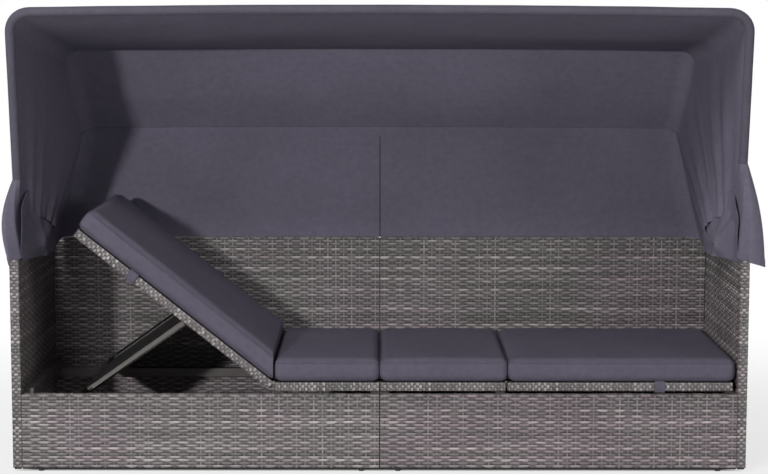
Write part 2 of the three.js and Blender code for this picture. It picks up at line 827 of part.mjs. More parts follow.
// Points along a hoop in its own plane, from the left pivot over the top to the right one.
// Cloth lies in from the tube by an inset, and by more near the pivots where it comes in slanted.
function hoopOutline(width, start, inset, slant, steps) {
  const top = width - hoopSplay - inset;
  const radius = hoopCornerRadius - inset;
  const shoulder = hoopLength - hoopCornerRadius;
  const crown = hoopLength - inset;
  const half = [];
  for (let step = 0; step < steps.leg; step += 1) {
    const reach = start + (step / steps.leg) * (shoulder - start);
    const across = width - inset - (slant * start) / reach;
    half.push([across - hoopSplay * (reach / shoulder), reach]);
  }
  for (let step = 0; step < steps.corner; step += 1) {
    const share = step / steps.corner;
    const angle = share * (Math.PI / 2);
    const across = top - (slant * start * (1 - share)) / shoulder;
    half.push([across - radius * (1 - Math.cos(angle)), shoulder + radius * Math.sin(angle)]);
  }
  for (let step = 0; step < steps.top; step += 1) {
    const share = 1 - step / steps.top;
    half.push([share * (top - radius), crown + hoopArch * (1 - share ** 2)]);
  }
  const left = half.map(([across, reach]) => [-across, reach]);
  return [...left, [0, crown + hoopArch], ...half.reverse()];
}

// Outline points in space, with the hoop leaning back by an angle.
function leaned(outline, lean) {
  const angle = radians(lean);
  return outline.map(([across, reach]) => {
    const depth = pivotDepth + reach * Math.sin(angle);
    return new THREE.Vector3(across, depth, pivotHeight + reach * Math.cos(angle));
  });
}

// The flat end of a hoop on its bolt, with a boss towards the bracket.
function eyeSolid(sign, width, lean, bossEnd) {
  const inner = width - eyeThickness / 2;
  const outer = width + eyeThickness / 2;
  const half = eyeWidth / 2;
  const tongue = sidedBox(sign, inner, outer, [-half, 0], [half, hoopStart + eyeOverlap]);
  const round = rodSolid([sign * inner, 0, 0], [sign * outer, 0, 0], half);
  const pieces = [tongue, round];
  if (bossEnd > outer) {
    pieces.push(rodSolid([sign * (outer - weldDepth), 0, 0], [sign * bossEnd, 0, 0], bossRadius));
  }
  const boreEnd = Math.max(outer, bossEnd) + overrun;
  const bore = rodSolid([0, 0, 0], [sign * boreEnd, 0, 0], boltRadius + boltClearance);
  const eye = join(pieces).subtract(bore);
  return eye.rotate([-lean, 0, 0]).translate([0, pivotDepth, pivotHeight]);
}

function addHoop(parent, name, width, lean, bossEnd) {
  const points = leaned(hoopOutline(width, hoopStart, 0, 0, hoopSteps), lean);
  const tube = tubeSolid(points, hoopTube / 2, hoopWall);
  const eyes = [-1, 1].map((sign) => eyeSolid(sign, width, lean, bossEnd));
  addPiece(parent, name, geometryFrom(join([tube, ...eyes])), steel);
}

function addHoops(parent) {
  const widths = hoopWidths();
  const middleBoss = bracketInner - seatGap;
  const rearBoss = widths.middle - eyeThickness / 2 - seatGap;
  addHoop(parent, "hoop_front", widths.front, frontHoopAngle, 0);
  addHoop(parent, "hoop_middle", widths.middle, middleHoopAngle, middleBoss);
  addHoop(parent, "hoop_rear", widths.rear, rearHoopAngle, rearBoss);
}

// A bracket on the top of an arm that carries the pivot bolt.
function addBracket(parent, side) {
  const sign = signs[side];
  const front = pivotDepth - bracketLength / 2;
  const rear = pivotDepth + bracketLength / 2;
  const bottom = armTop + seatGap;
  const plateTop = bottom + bracketPlate;
  const top = pivotHeight + bracketTopMargin;
  const plate = sidedBox(sign, armInnerFace, halfLength, [front, bottom], [rear, plateTop]);
  const webFront = pivotDepth - bracketWeb / 2;
  const webRear = pivotDepth + bracketWeb / 2;
  const webLow = [webFront, plateTop - weldDepth];
  const web = sidedBox(sign, bracketInner, bracketOuter, webLow, [webRear, top]);
  const reach = [sign * (bracketInner - overrun), sign * (bracketOuter + overrun)];
  const radius = boltRadius + boltClearance;
  const bore = rodSolid([reach[0], pivotDepth, pivotHeight], [reach[1], pivotDepth, pivotHeight], radius);
  addPiece(parent, `pivot_bracket_${side}`, geometryFrom(join([plate, web]).subtract(bore)), steel);
}

// The pivot bolt with its head inside, and the nut outside.
function addPivotBolt(parent, side) {
  const sign = signs[side];
  const widths = hoopWidths();
  const headFace = widths.rear - eyeThickness / 2 - seatGap;
  const nutFace = widths.front + eyeThickness / 2 + seatGap;
  const tail = nutFace + nutHeight + boltTail;
  const at = (across) => [sign * across, pivotDepth, pivotHeight];
  const shank = rodSolid(at(headFace - weldDepth), at(tail), boltRadius, boltSides);
  const head = rodSolid(at(headFace - boltHeadHeight), at(headFace), boltHeadRadius, hexSides);
  addPiece(parent, `pivot_bolt_${side}`, geometryFrom(join([shank, head])), zinc);
  const block = rodSolid(at(nutFace), at(nutFace + nutHeight), boltHeadRadius, hexSides);
  const bore = rodSolid(at(nutFace - overrun), at(tail + overrun), boltRadius + boltClearance, boltSides);
  addPiece(parent, `pivot_nut_${side}`, geometryFrom(block.subtract(bore)), zinc);
}

// A closed thin sheet over a grid of points, given as rows.
function sheetGeometry(rows, thickness) {
  const count = rows[0].length;
  const last = rows.length - 1;
  const near = [];
  const far = [];
  rows.forEach((row, i) => {
    row.forEach((point, j) => {
      const down = rows[Math.min(i + 1, last)][j].clone().sub(rows[Math.max(i - 1, 0)][j]);
      const across = row[Math.min(j + 1, count - 1)].clone().sub(row[Math.max(j - 1, 0)]);
      const normal = across.cross(down).normalize().multiplyScalar(thickness / 2);
      near.push(...point.clone().add(normal));
      far.push(...point.clone().sub(normal));
    });
  });
  const offset = rows.length * count;
  const faces = [];
  const addQuad = (a, b, c, d) => faces.push(a, b, c, a, c, d);
  for (let i = 0; i < last; i += 1) {
    for (let j = 0; j < count - 1; j += 1) {
      const a = i * count + j;
      const below = a + count;
      addQuad(a, a + 1, below + 1, below);
      addQuad(offset + a, offset + below, offset + below + 1, offset + a + 1);
    }
  }
  for (let j = 0; j < count - 1; j += 1) {
    const a = last * count + j;
    addQuad(j + 1, j, offset + j, offset + j + 1);
    addQuad(a, a + 1, offset + a + 1, offset + a);
  }
  for (let i = 0; i < last; i += 1) {
    const a = i * count;
    const end = a + count - 1;
    addQuad(a, a + count, offset + a + count, offset + a);
    addQuad(end + count, end, offset + end, offset + end + count);
  }
  return closedGeometry([...near, ...far], faces);
}

// Cloth between two curves with as many points each, folded at the sides and sagging on top.
function goreRows(first, second, rowCount) {
  const rows = [];
  for (let row = 0; row <= rowCount; row += 1) {
    const share = row / rowCount;
    rows.push(
      first.map((start, index) => {
        const end = second[index];
        const gap = Math.min(clothEdgeGap / start.distanceTo(end), 1 / 4);
        const point = start.clone().lerp(end, gap + share * (1 - 2 * gap));
        return foldedPoint(point, share, index / (first.length - 1));
      }),
    );
  }
  return rows;
}

// A point of the cloth after its side folds and its sag, which fade out at the hoops.
function foldedPoint(point, share, around) {
  const total = 2 * (clothSteps.leg + clothSteps.corner + clothSteps.top);
  const legShare = clothSteps.leg / total;
  const fromPivot = Math.min(around, 1 - around);
  const onSide = fromPivot < legShare ? Math.sin((fromPivot / legShare) * Math.PI) : 0;
  const fade = Math.sin(share * Math.PI);
  const wave = Math.sin(share * clothFolds * 2 * Math.PI);
  const inward = -Math.sign(point.x);
  point.x += inward * clothFold * onSide * fade * (1 + wave) / 2;
  if (fromPivot > legShare) {
    point.z -= clothSag * fade;
  }
  return point;
}

// The curve that the rear cloth ends on: along the arm tops and the top of the back.
function hemPoints() {
  const steps = clothSteps;
  const width = armInnerFace - hemInset;
  const rear = halfDepth - hemRearInset;
  const radius = hoopCornerRadius;
  const half = [];
  const start = pivotDepth + clothStart;
  const shoulder = rear - radius;
  for (let step = 0; step < steps.leg; step += 1) {
    half.push([width, start + (step / steps.leg) * (shoulder - start)]);
  }
  for (let step = 0; step < steps.corner; step += 1) {
    const angle = (step / steps.corner) * (Math.PI / 2);
    half.push([width - radius * (1 - Math.cos(angle)), shoulder + radius * Math.sin(angle)]);
  }
  for (let step = 0; step < steps.top; step += 1) {
    half.push([(1 - step / steps.top) * (width - radius), rear]);
  }
  const height = armTop + hemLift;
  const right = half.map(([across, depth]) => new THREE.Vector3(across, depth, height));
  const left = half.map(([across, depth]) => new THREE.Vector3(-across, depth, height));
  return [...left, new THREE.Vector3(0, rear, height), ...right.reverse()];
}

// How far the middle of the cloth lies from the middle of a hoop's many-sided tube.
function clothInset() {
  const flatReach = (hoopTube / 2) * Math.cos(Math.PI / (2 * tubeSegments));
  return flatReach + clothGap + clothThickness / 2;
}

function addCanopyCloth(parent) {
  const widths = hoopWidths();
  const close = (width, slant) => hoopOutline(width, clothStart, clothInset(), slant, clothSteps);
  const front = leaned(close(widths.front, 0), frontHoopAngle);
  const beforeMiddle = leaned(close(widths.middle, clothSlantRoom), middleHoopAngle);
  const behindMiddle = leaned(close(widths.middle, 0), middleHoopAngle);
  const rear = leaned(close(widths.rear, clothSlantRoom), rearHoopAngle);
  const gores = [
    ["canopy_front", front, beforeMiddle, goreRowCounts.front],
    ["canopy_middle", behindMiddle, rear, goreRowCounts.middle],
    ["canopy_rear", rear, hemPoints(), goreRowCounts.rear],
  ];
  for (const [name, first, second, rows] of gores) {
    addPiece(parent, name, sheetGeometry(goreRows(first, second, rows), clothThickness), fabric);
  }
}

// A point on the outside of the front hoop's leg, at a distance from the pivot.
function legPoint(sign, reach) {
  const outside = hoopTube / 2 + clothGap + clothThickness / 2;
  const shoulder = hoopLength - hoopCornerRadius;
  const lean = radians(frontHoopAngle);
  const across = hoopWidths().front + outside - hoopSplay * (reach / shoulder);
  const depth = pivotDepth + reach * Math.sin(lean);
  return new THREE.Vector3(sign * across, depth, pivotHeight + reach * Math.cos(lean));
}

// The flap that hangs from the front hoop's leg over the front of an arm.
function flapRows(sign) {
  const top = legPoint(sign, flapTop);
  const hemHeight = armTop - flapHemDrop;
  const corner = legPoint(sign, 0).setY(flapFrontInset - halfDepth).setZ(hemHeight);
  const rows = [];
  for (let row = 0; row <= flapRowCount; row += 1) {
    const fall = row / flapRowCount;
    const rear = legPoint(sign, flapTop + fall * (flapBottom - flapTop));
    rear.z -= fall ** 3 * (rear.z - hemHeight);
    rear.x += sign * flapOutset * fall;
    const front = top.clone().lerp(corner, fall);
    const bulge = flapFrontBulge * Math.sin(fall * Math.PI);
    front.y -= bulge * (1 - fall) ** 2;
    front.x += sign * bulge;
    const line = [];
    for (let column = 0; column <= flapColumnCount; column += 1) {
      const share = column / flapColumnCount;
      const point = rear.clone().lerp(front, share);
      const wave = Math.sin(share * flapWaveCount * Math.PI) * Math.sin(share * Math.PI);
      point.x += sign * flapWave * wave * Math.min(2 * fall, 1);
      point.y -= (1 - fall) * (clothGap + share * flapTopThickness);
      line.push(point);
    }
    rows.push(sign > 0 ? line : line.reverse());
  }
  return rows;
}

function addFlaps(parent) {
  for (const side of sides) {
    addPiece(parent, `canopy_flap_${side}`, sheetGeometry(flapRows(signs[side]), clothThickness), fabric);
  }
}

const daybed = new THREE.Group();
for (const side of sides) {
  addArm(daybed, side);
  addBackAndApron(daybed, side);
  addFeet(daybed, side);
  addSeatFrame(daybed, side);
  addDeck(daybed, side);
  addHinge(daybed, side);
  addDeckCushion(daybed, side);
  addBracket(daybed, side);
  addPivotBolt(daybed, side);
}
addModuleBolt(daybed, "module_bolt_front", -moduleBoltSpread / 2);
addModuleBolt(daybed, "module_bolt_rear", moduleBoltSpread / 2);
addLiftPanel(daybed, "left", radians(restRaise));
addLiftPanel(daybed, "right", 0);
addHoops(daybed);
addCanopyCloth(daybed);
addFlaps(daybed);

// The origin is on the floor, in the middle of the space that the daybed takes up.
const extent = new THREE.Box3().setFromObject(daybed);
const centre = extent.getCenter(new THREE.Vector3());
daybed.position.set(-centre.x, -centre.y, -extent.min.z);

export default daybed;
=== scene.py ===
import bpy
import json
from math import atan2, cos, degrees, hypot, pi, radians, sin, sqrt, tan
import numpy as np
from mathutils import Matrix, Vector, noise


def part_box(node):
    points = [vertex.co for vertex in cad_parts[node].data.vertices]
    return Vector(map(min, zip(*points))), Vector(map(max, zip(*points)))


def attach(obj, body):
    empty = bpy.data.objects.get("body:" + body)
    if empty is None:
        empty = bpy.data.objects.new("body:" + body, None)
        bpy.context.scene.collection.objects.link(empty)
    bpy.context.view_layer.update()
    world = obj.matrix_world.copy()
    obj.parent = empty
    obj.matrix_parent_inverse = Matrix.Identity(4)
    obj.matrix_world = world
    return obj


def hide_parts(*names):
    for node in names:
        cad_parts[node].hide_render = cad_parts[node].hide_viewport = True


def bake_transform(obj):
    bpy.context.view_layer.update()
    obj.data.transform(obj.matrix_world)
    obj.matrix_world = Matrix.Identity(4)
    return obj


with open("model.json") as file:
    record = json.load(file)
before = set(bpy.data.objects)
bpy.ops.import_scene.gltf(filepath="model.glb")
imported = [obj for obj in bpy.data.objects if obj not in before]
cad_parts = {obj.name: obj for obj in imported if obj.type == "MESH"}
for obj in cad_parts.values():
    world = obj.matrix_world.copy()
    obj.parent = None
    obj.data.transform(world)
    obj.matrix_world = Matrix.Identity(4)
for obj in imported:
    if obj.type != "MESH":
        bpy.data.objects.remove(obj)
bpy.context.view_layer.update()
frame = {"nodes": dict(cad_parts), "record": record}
nodes = frame["nodes"]
print("frame loaded")

# shiftY leads from the middle of the frame to the daybed's own middle
bed = {
    "shiftY": -0.11206, "halfDepth": 0.3, "armInner": 0.975, "armTop": 0.581,
    "hingeHeight": 0.242, "leftHinge": -0.2895, "rightHinge": 0.346, "restRaise": 38.57,
}
sides = {"left": -1, "right": 1}


def bedPoint(x, y, z):
    return Vector((x, y + bed["shiftY"], z))


def choose(*pieces):
    bpy.ops.object.select_all(action="DESELECT")
    for piece in pieces:
        piece.select_set(True)
    bpy.context.view_layer.objects.active = pieces[0]


def joinPieces(pieces, name):
    choose(*pieces)
    bpy.ops.object.join()
    pieces[0].name = pieces[0].data.name = name
    return pieces[0]


def modify(piece, kind, **values):
    made = piece.modifiers.new(kind.title(), kind)
    for key, value in values.items():
        setattr(made, key, value)
    choose(piece)
    bpy.ops.object.modifier_apply(modifier=made.name)


def smooth(piece, angle):
    choose(piece)
    bpy.ops.object.shade_smooth_by_angle(angle=radians(angle))


def dress(piece, finish):
    piece.data.materials.clear()
    piece.data.materials.append(finish)


def editWhole(piece, work):
    choose(piece)
    bpy.ops.object.mode_set(mode="EDIT")
    bpy.ops.mesh.select_all(action="SELECT")
    work()
    bpy.ops.object.mode_set(mode="OBJECT")


def fresh(name, points, faces):
    mesh = bpy.data.meshes.new(name)
    mesh.from_pydata([tuple(point) for point in points], [], faces)
    mesh.update()
    piece = bpy.data.objects.new(name, mesh)
    bpy.context.scene.collection.objects.link(piece)
    return piece


def readPoints(piece):
    points = np.empty(len(piece.data.vertices) * 3)
    piece.data.vertices.foreach_get("co", points)
    return points.reshape(-1, 3)


def writePoints(piece, points):
    piece.data.vertices.foreach_set("co", points.ravel())
    piece.data.update()


def setUv(piece, uvFromPoint):
    layer = piece.data.uv_layers.active or piece.data.uv_layers.new(name="run")
    layer.name = "run"
    corners = np.empty(len(piece.data.loops), dtype=int)
    piece.data.loops.foreach_get("vertex_index", corners)
    layer.data.foreach_set("uv", uvFromPoint(readPoints(piece))[corners].ravel())


# faces of a net of points; a closed side joins its last points to its first
def netFaces(rows, columns, closedRows=False, closedColumns=False):
    faces = []
    for row in range(rows if closedRows else rows - 1):
        here = row * columns
        there = (row + 1) % rows * columns
        for column in range(columns if closedColumns else columns - 1):
            after = (column + 1) % columns
            faces.append((here + column, here + after, there + after, there + column))
    return faces


def gridPiece(name, rows):
    points = [point for row in rows for point in row]
    return fresh(name, points, netFaces(len(rows), len(rows[0])))


# a round tube along a line that lies flat across the given normal
def tubePiece(name, line, normal, sections, radiusAt, closed=False):
    count = len(line)
    points = []
    for index, point in enumerate(line):
        before, after = index - 1, (index + 1) % count
        if not closed:
            before, after = max(before, 0), min(index + 1, count - 1)
        outward = (line[after] - line[before]).normalized().cross(normal).normalized()
        for step in range(sections):
            turn = 2 * pi * step / sections
            way = cos(turn) * outward + sin(turn) * normal
            points.append(point + radiusAt(point, step) * way)
    faces = netFaces(count, sections, closed, True)
    return fresh(name, points, [face[::-1] for face in faces])


def meshArea(piece):
    return sum(face.area for face in piece.data.polygons)


def thicken(piece, look, finish):
    modify(piece, "SOLIDIFY", thickness=look["thickness"], offset=0)
    smooth(piece, look["smoothAngle"])
    dress(piece, finishes[finish])


camera = {
    "place": (0.0018, -5.5067, 1.2141),
    "pitch": 6.24, "yaw": 0.166, "roll": 0.0745,
    "lens": 91.1, "shiftX": -0.0027, "farClip": 200,
}


def addCamera():
    bpy.ops.object.camera_add(location=bedPoint(*camera["place"]))
    view = bpy.context.object
    turn = Matrix.Rotation(radians(-camera["yaw"]), 3, "Z")
    tilt = Matrix.Rotation(radians(90 - camera["pitch"]), 3, "X")
    roll = Matrix.Rotation(radians(camera["roll"]), 3, "Z")
    view.rotation_euler = (turn @ tilt @ roll).to_euler()
    view.data.lens = camera["lens"]
    view.data.shift_x = camera["shiftX"]
    view.data.clip_end = camera["farClip"]
    bpy.context.scene.camera = view


addCamera()
print("camera placed")


def node(tree, kind, links=None, **values):
    made = tree.nodes.new(kind)
    for key, value in values.items():
        if key.startswith("in_"):
            made.inputs[key[3:].replace("_", " ")].default_value = value
        else:
            setattr(made, key, value)
    for socket, source in (links or {}).items():
        tree.links.new(source, made.inputs[socket])
    return made


# a socket takes a bare value or a link from another node
def feed(tree, socket, value):
    if isinstance(value, (int, float, tuple)):
        socket.default_value = value
    else:
        tree.links.new(value, socket)


def maths(tree, operation, *values):
    made = node(tree, "ShaderNodeMath", operation=operation)
    for socket, value in zip(made.inputs, values):
        feed(tree, socket, value)
    return made.outputs[0]


def times(tree, first, second):
    return maths(tree, "MULTIPLY", first, second)


def mixColour(tree, share, first, second, blend="MIX"):
    made = node(tree, "ShaderNodeMix", data_type="RGBA", blend_type=blend)
    for index, value in ((0, share), (6, first), (7, second)):
        feed(tree, made.inputs[index], value)
    return made.outputs[2]


def tinted(tree, share, colour, tint):
    return mixColour(tree, share, colour, mixColour(tree, 1.0, colour, tint, "MULTIPLY"))


def ramp(tree, value, stops):
    made = node(tree, "ShaderNodeValToRGB", {0: value})
    elements = made.color_ramp.elements
    for index, stop in enumerate(stops):
        if index > 1:
            elements.new(stop[0])
        elements[index].position, elements[index].color = stop
    return made.outputs[0]


def mapRange(tree, value, source=(0.0, 1.0), target=(0.0, 1.0), kind="LINEAR"):
    made = node(tree, "ShaderNodeMapRange", {"Value": value}, interpolation_type=kind)
    for label, limits in (("From", source), ("To", target)):
        for end, limit in zip((" Min", " Max"), limits):
            made.inputs[label + end].default_value = limit
    return made.outputs[0]


def addBump(tree, shader, height, distance, strength):
    made = node(tree, "ShaderNodeBump", {"Height": height}, in_Distance=distance, in_Strength=strength)
    tree.links.new(made.outputs[0], shader.inputs["Normal"])


def cloudNode(tree, place, size, detail):
    links = {"Vector": place}
    return node(tree, "ShaderNodeTexNoise", links, in_Scale=size, in_Detail=detail).outputs[0]


def newGroup(name, inputs, outputs):
    group = bpy.data.node_groups.new(name, "ShaderNodeTree")

    def addSocket(label, way, kind="Float"):
        return group.interface.new_socket(label, in_out=way, socket_type=f"NodeSocket{kind}")

    addSocket("Place", "INPUT", "Vector")
    for label, default in inputs.items():
        addSocket(label, "INPUT").default_value = default
    for label in outputs:
        addSocket(label, "OUTPUT")
    return group, group.nodes.new("NodeGroupInput"), group.nodes.new("NodeGroupOutput")


def newMaterial(name, **values):
    material = bpy.data.materials.new(name)
    material.use_nodes = True
    tree = material.node_tree
    shader = tree.nodes["Principled BSDF"]
    for key, value in values.items():
        shader.inputs[key.replace("_", " ")].default_value = value
    return material, tree, shader


weave = {"lean": 0.6, "slubScale": 55.0, "slubDetail": 5.0, "shadeShare": 0.12, "shadeMiddle": 0.5}


# fine plain weave of cloth, as a height and a shade output that darkens its low hollows, a painted shade,
# with uneven slubs added to both
def makeClothGroup():
    group, entry, leave = newGroup("clothWeave", {"Threads": 700.0, "Slub": 0.5}, ["Height", "Shade"])
    place, threadCount, slubSize = entry.outputs[:3]
    links = {0: place, "Scale": threadCount}
    scaled = node(group, "ShaderNodeVectorMath", links, operation="SCALE")
    x, y, z = node(group, "ShaderNodeSeparateXYZ", {0: scaled.outputs[0]}).outputs
    warp = maths(group, "SINE", maths(group, "ADD", x, y))
    weft = maths(group, "SINE", maths(group, "SUBTRACT", z, times(group, y, weave["lean"])))
    height = times(group, warp, weft)
    slub = cloudNode(group, place, weave["slubScale"], weave["slubDetail"])
    uneven = times(group, maths(group, "SUBTRACT", slub, 0.5), slubSize)
    shade = maths(group, "MULTIPLY_ADD", height, weave["shadeShare"], weave["shadeMiddle"])
    for label, value in (("Height", height), ("Shade", shade)):
        group.links.new(maths(group, "ADD", value, uneven), leave.inputs[label])
    return group


patches = {"detail": 6.0, "roughness": 0.6, "range": (0.3, 0.7)}


# slow patches over a surface: dust and weather on cloth and metal, and uneven tone in the painted shade
# of a panel's core
def makePatchGroup():
    group, entry, leave = newGroup("weatherPatches", {"Size": 4.0}, ["Patch"])
    links = {"Vector": entry.outputs["Place"], "Scale": entry.outputs["Size"]}
    look = {"in_Detail": patches["detail"], "in_Roughness": patches["roughness"]}
    cloud = node(group, "ShaderNodeTexNoise", links, **look)
    group.links.new(mapRange(group, cloud.outputs[0], patches["range"]), leave.inputs["Patch"])
    return group


clothGroup = makeClothGroup()
patchGroup = makePatchGroup()


def objectPlace(tree):
    return node(tree, "ShaderNodeTexCoord").outputs["Object"]


def patchOver(tree, size):
    links = {"Place": objectPlace(tree)}
    return node(tree, "ShaderNodeGroup", links, node_tree=patchGroup, in_Size=size).outputs["Patch"]


# light and dark tone and size of the patches
clothFinish = {
    "canopyCloth": ((0.176, 0.161, 0.216, 1), (0.150, 0.137, 0.184, 1), 3.0),
    "cushionCloth": ((0.136, 0.123, 0.167, 1), (0.114, 0.103, 0.140, 1), 5.0),
    # the sleeves take the canopy cloth darkened, a painted shade on the hoop sleeves
    "sleeveClothShaded": ((0.122, 0.111, 0.146, 1), (0.104, 0.095, 0.125, 1), 5.0),
    # the seam strip is darker cloth, painted shade along the seam's fold
    "seamShadeLine": ((0.105, 0.096, 0.128, 1), (0.090, 0.082, 0.110, 1), 3.0),
}
# the thread tones darken the weave's hollows, a painted shade
threads = {
    "count": 2600.0, "slub": 0.6, "hollowShadeShare": 0.8, "depth": 0.0004, "bump": 0.25,
    "tones": [(0.2, (0.72, 0.72, 0.74, 1)), (0.8, (1.15, 1.15, 1.13, 1))],
}


def clothMaterial(name, light, dark, patchSize):
    material, tree, shader = newMaterial(name, Roughness=0.95, Specular_IOR_Level=0.2)
    count = {"in_Threads": threads["count"], "in_Slub": threads["slub"]}
    woven = node(tree, "ShaderNodeGroup", {"Place": objectPlace(tree)}, node_tree=clothGroup, **count)
    base = mixColour(tree, patchOver(tree, patchSize), dark, light)
    # painted shade in the low hollows between threads
    threadHollowShade = ramp(tree, woven.outputs["Shade"], threads["tones"])
    colour = mixColour(tree, threads["hollowShadeShare"], base, threadHollowShade, "MULTIPLY")
    tree.links.new(colour, shader.inputs["Base Color"])
    addBump(tree, shader, woven.outputs["Height"], threads["depth"], threads["bump"])
    return material


def greyStops(*stops):
    return [(place, (level, level * 0.99, level * 0.99, 1)) for place, level in stops]


caneFinish = {
    "tones": [
        (0.00, (0.082, 0.074, 0.075, 1)), (0.35, (0.166, 0.150, 0.152, 1)),
        (0.65, (0.264, 0.240, 0.243, 1)), (1.00, (0.500, 0.464, 0.460, 1)),
    ],
    "toneRange": (0.25, 0.75), "toneDetail": 4.0,
    "drift": 3.2, "rowJump": 57.0, "rowShare": 0.55,
    "batchSize": 2.6, "batchDetail": 2.0, "hueJitter": 0.20,
    "mauve": (0.94, 0.85, 0.90, 1), "mauveZone": greyStops((0.50, 0.0), (0.58, 0.9)),
    "green": (0.86, 0.90, 0.86, 1), "greenZone": greyStops((0.36, 0.8), (0.45, 0.0)),
    # painted shade along each strand's lower edge and a painted highlight near its upper edge
    "edgeHighlightAndShade": greyStops((0.0, 0.06), (0.24, 0.55), (0.5, 1.0), (0.80, 1.60), (1.0, 0.50)),
    "edgeLightDrift": 2.3, "edgeLightRange": (0.35, 0.60), "edgeLightShare": (0.15, 1.0),
    # painted shade where a strand dips under a stake and a painted highlight on its crests
    "dipShadeCrestHighlight": greyStops((0.0, 1.22), (0.42, 1.10), (0.58, 0.72), (1.0, 0.42)),
    "roughness": (0.40, 0.62), "grooves": 44.0, "grooveDepth": 0.0002, "bump": 0.35,
    # near-black tones of the core, painted shade inside the panel, in patches
    "core": (0.012, 0.011, 0.011, 1), "paleCoreShade": (0.022, 0.020, 0.019, 1), "coreShadePatch": 30.0,
}


# strands are numbered: rows of a face, then rows of an edge, then stakes
edgeRows = 300
stakeRows = 900


# strands of flat cane: each row has its own tone, which drifts along the strand
def caneMaterial():
    look = caneFinish
    material, tree, shader = newMaterial("wovenCane", Roughness=0.5)
    run = node(tree, "ShaderNodeUVMap", uv_map="run").outputs[0]
    along, upward, _ = node(tree, "ShaderNodeSeparateXYZ", {0: run}).outputs
    row = maths(tree, "FLOOR", upward)
    rowSeed = node(tree, "ShaderNodeTexWhiteNoise", {"W": row}, noise_dimensions="1D").outputs["Value"]
    start = times(tree, rowSeed, look["rowJump"])
    drift = maths(tree, "ADD", times(tree, along, look["drift"]), start)
    ripple = {"noise_dimensions": "1D", "in_Scale": 1.0, "in_Detail": look["toneDetail"]}
    tone = node(tree, "ShaderNodeTexNoise", {"W": drift}, **ripple)
    ownTone = times(tree, rowSeed, look["rowShare"])
    driftTone = times(tree, mapRange(tree, tone.outputs[0], look["toneRange"]), 1 - look["rowShare"])
    colour = ramp(tree, maths(tree, "ADD", ownTone, driftTone), look["tones"])
    # batches of cane differ a little in hue
    batch = cloudNode(tree, objectPlace(tree), look["batchSize"], look["batchDetail"])
    jitter = times(tree, maths(tree, "SUBTRACT", rowSeed, 0.5), look["hueJitter"])
    hue = maths(tree, "ADD", batch, jitter)
    onFace = maths(tree, "LESS_THAN", row, edgeRows)
    mauveMask = times(tree, ramp(tree, hue, look["mauveZone"]), onFace)
    colour = tinted(tree, mauveMask, colour, look["mauve"])
    colour = tinted(tree, ramp(tree, hue, look["greenZone"]), colour, look["green"])
    # each strand is painted with shade along its lower edge and a highlight near its upper edge, stronger
    # in some stretches of the run than in others
    edgeLighting = ramp(tree, maths(tree, "FRACT", upward), look["edgeHighlightAndShade"])
    edgeLightRun = times(tree, drift, look["edgeLightDrift"])
    edgeLightNoise = node(tree, "ShaderNodeTexNoise", {"W": edgeLightRun}, noise_dimensions="1D").outputs[0]
    strength = mapRange(tree, edgeLightNoise, look["edgeLightRange"], look["edgeLightShare"])
    colour = tinted(tree, strength, colour, edgeLighting)
    # strands are painted darker where they dip under a stake, a painted shade, and lighter on their
    # crests, a painted highlight
    low = node(tree, "ShaderNodeAttribute", attribute_name="low").outputs["Fac"]
    colour = mixColour(tree, 1.0, colour, ramp(tree, low, look["dipShadeCrestHighlight"]), "MULTIPLY")
    tree.links.new(colour, shader.inputs["Base Color"])
    rough = mapRange(tree, tone.outputs[0], target=look["roughness"])
    tree.links.new(rough, shader.inputs["Roughness"])
    groove = maths(tree, "SINE", times(tree, upward, look["grooves"]))
    addBump(tree, shader, groove, look["grooveDepth"], look["bump"])
    return material


# the core is painted shade: near black, in patches of two dark tones
def coreMaterial():
    material, tree, shader = newMaterial("caneShadow", Roughness=0.9)
    patch = patchOver(tree, caneFinish["coreShadePatch"])
    colour = mixColour(tree, patch, caneFinish["core"], caneFinish["paleCoreShade"])
    tree.links.new(colour, shader.inputs["Base Color"])
    return material


# base colour, worn colour, metallic share and roughness
metals = {
    "blackSteel": ((0.072, 0.063, 0.063, 1), (0.105, 0.094, 0.092, 1), 0.2, 0.34),
    "propSteel": ((0.150, 0.142, 0.135, 1), (0.080, 0.075, 0.072, 1), 1.0, 0.16),
    # the seat rails take a lighter copy of the frame steel, painted light
    "railSteelLit": ((0.115, 0.104, 0.100, 1), (0.085, 0.077, 0.074, 1), 0.3, 0.38),
    "sheetSteel": ((0.008, 0.008, 0.009, 1), (0.016, 0.015, 0.016, 1), 0.0, 0.55),
    "brightSteel": ((0.62, 0.62, 0.63, 1), (0.42, 0.41, 0.40, 1), 1.0, 0.25),
    "footPlastic": ((0.012, 0.012, 0.012, 1), (0.03, 0.03, 0.03, 1), 0.0, 0.5),
}
metalWear = {
    "patch": 24.0, "share": 0.6, "roughSpread": 0.18,
    "grain": 900.0, "grainDetail": 2.0, "grainDepth": 0.0001, "bump": 0.3,
}


def metalMaterial(name, base, worn, metallic, rough):
    material, tree, shader = newMaterial(name, Metallic=metallic)
    patch = patchOver(tree, metalWear["patch"])
    grain = cloudNode(tree, objectPlace(tree), metalWear["grain"], metalWear["grainDetail"])
    mask = times(tree, patch, metalWear["share"])
    tree.links.new(mixColour(tree, mask, base, worn), shader.inputs["Base Color"])
    level = mapRange(tree, patch, target=(rough, rough + metalWear["roughSpread"]))
    tree.links.new(level, shader.inputs["Roughness"])
    addBump(tree, shader, grain, metalWear["grainDepth"], metalWear["bump"])
    return material


finishes = {name: clothMaterial(name, *look) for name, look in clothFinish.items()}
finishes["wovenCane"] = caneMaterial()
finishes["caneCore"] = coreMaterial()
for name, values in metals.items():
    finishes[name] = metalMaterial(name, *values)
print("finishes made")

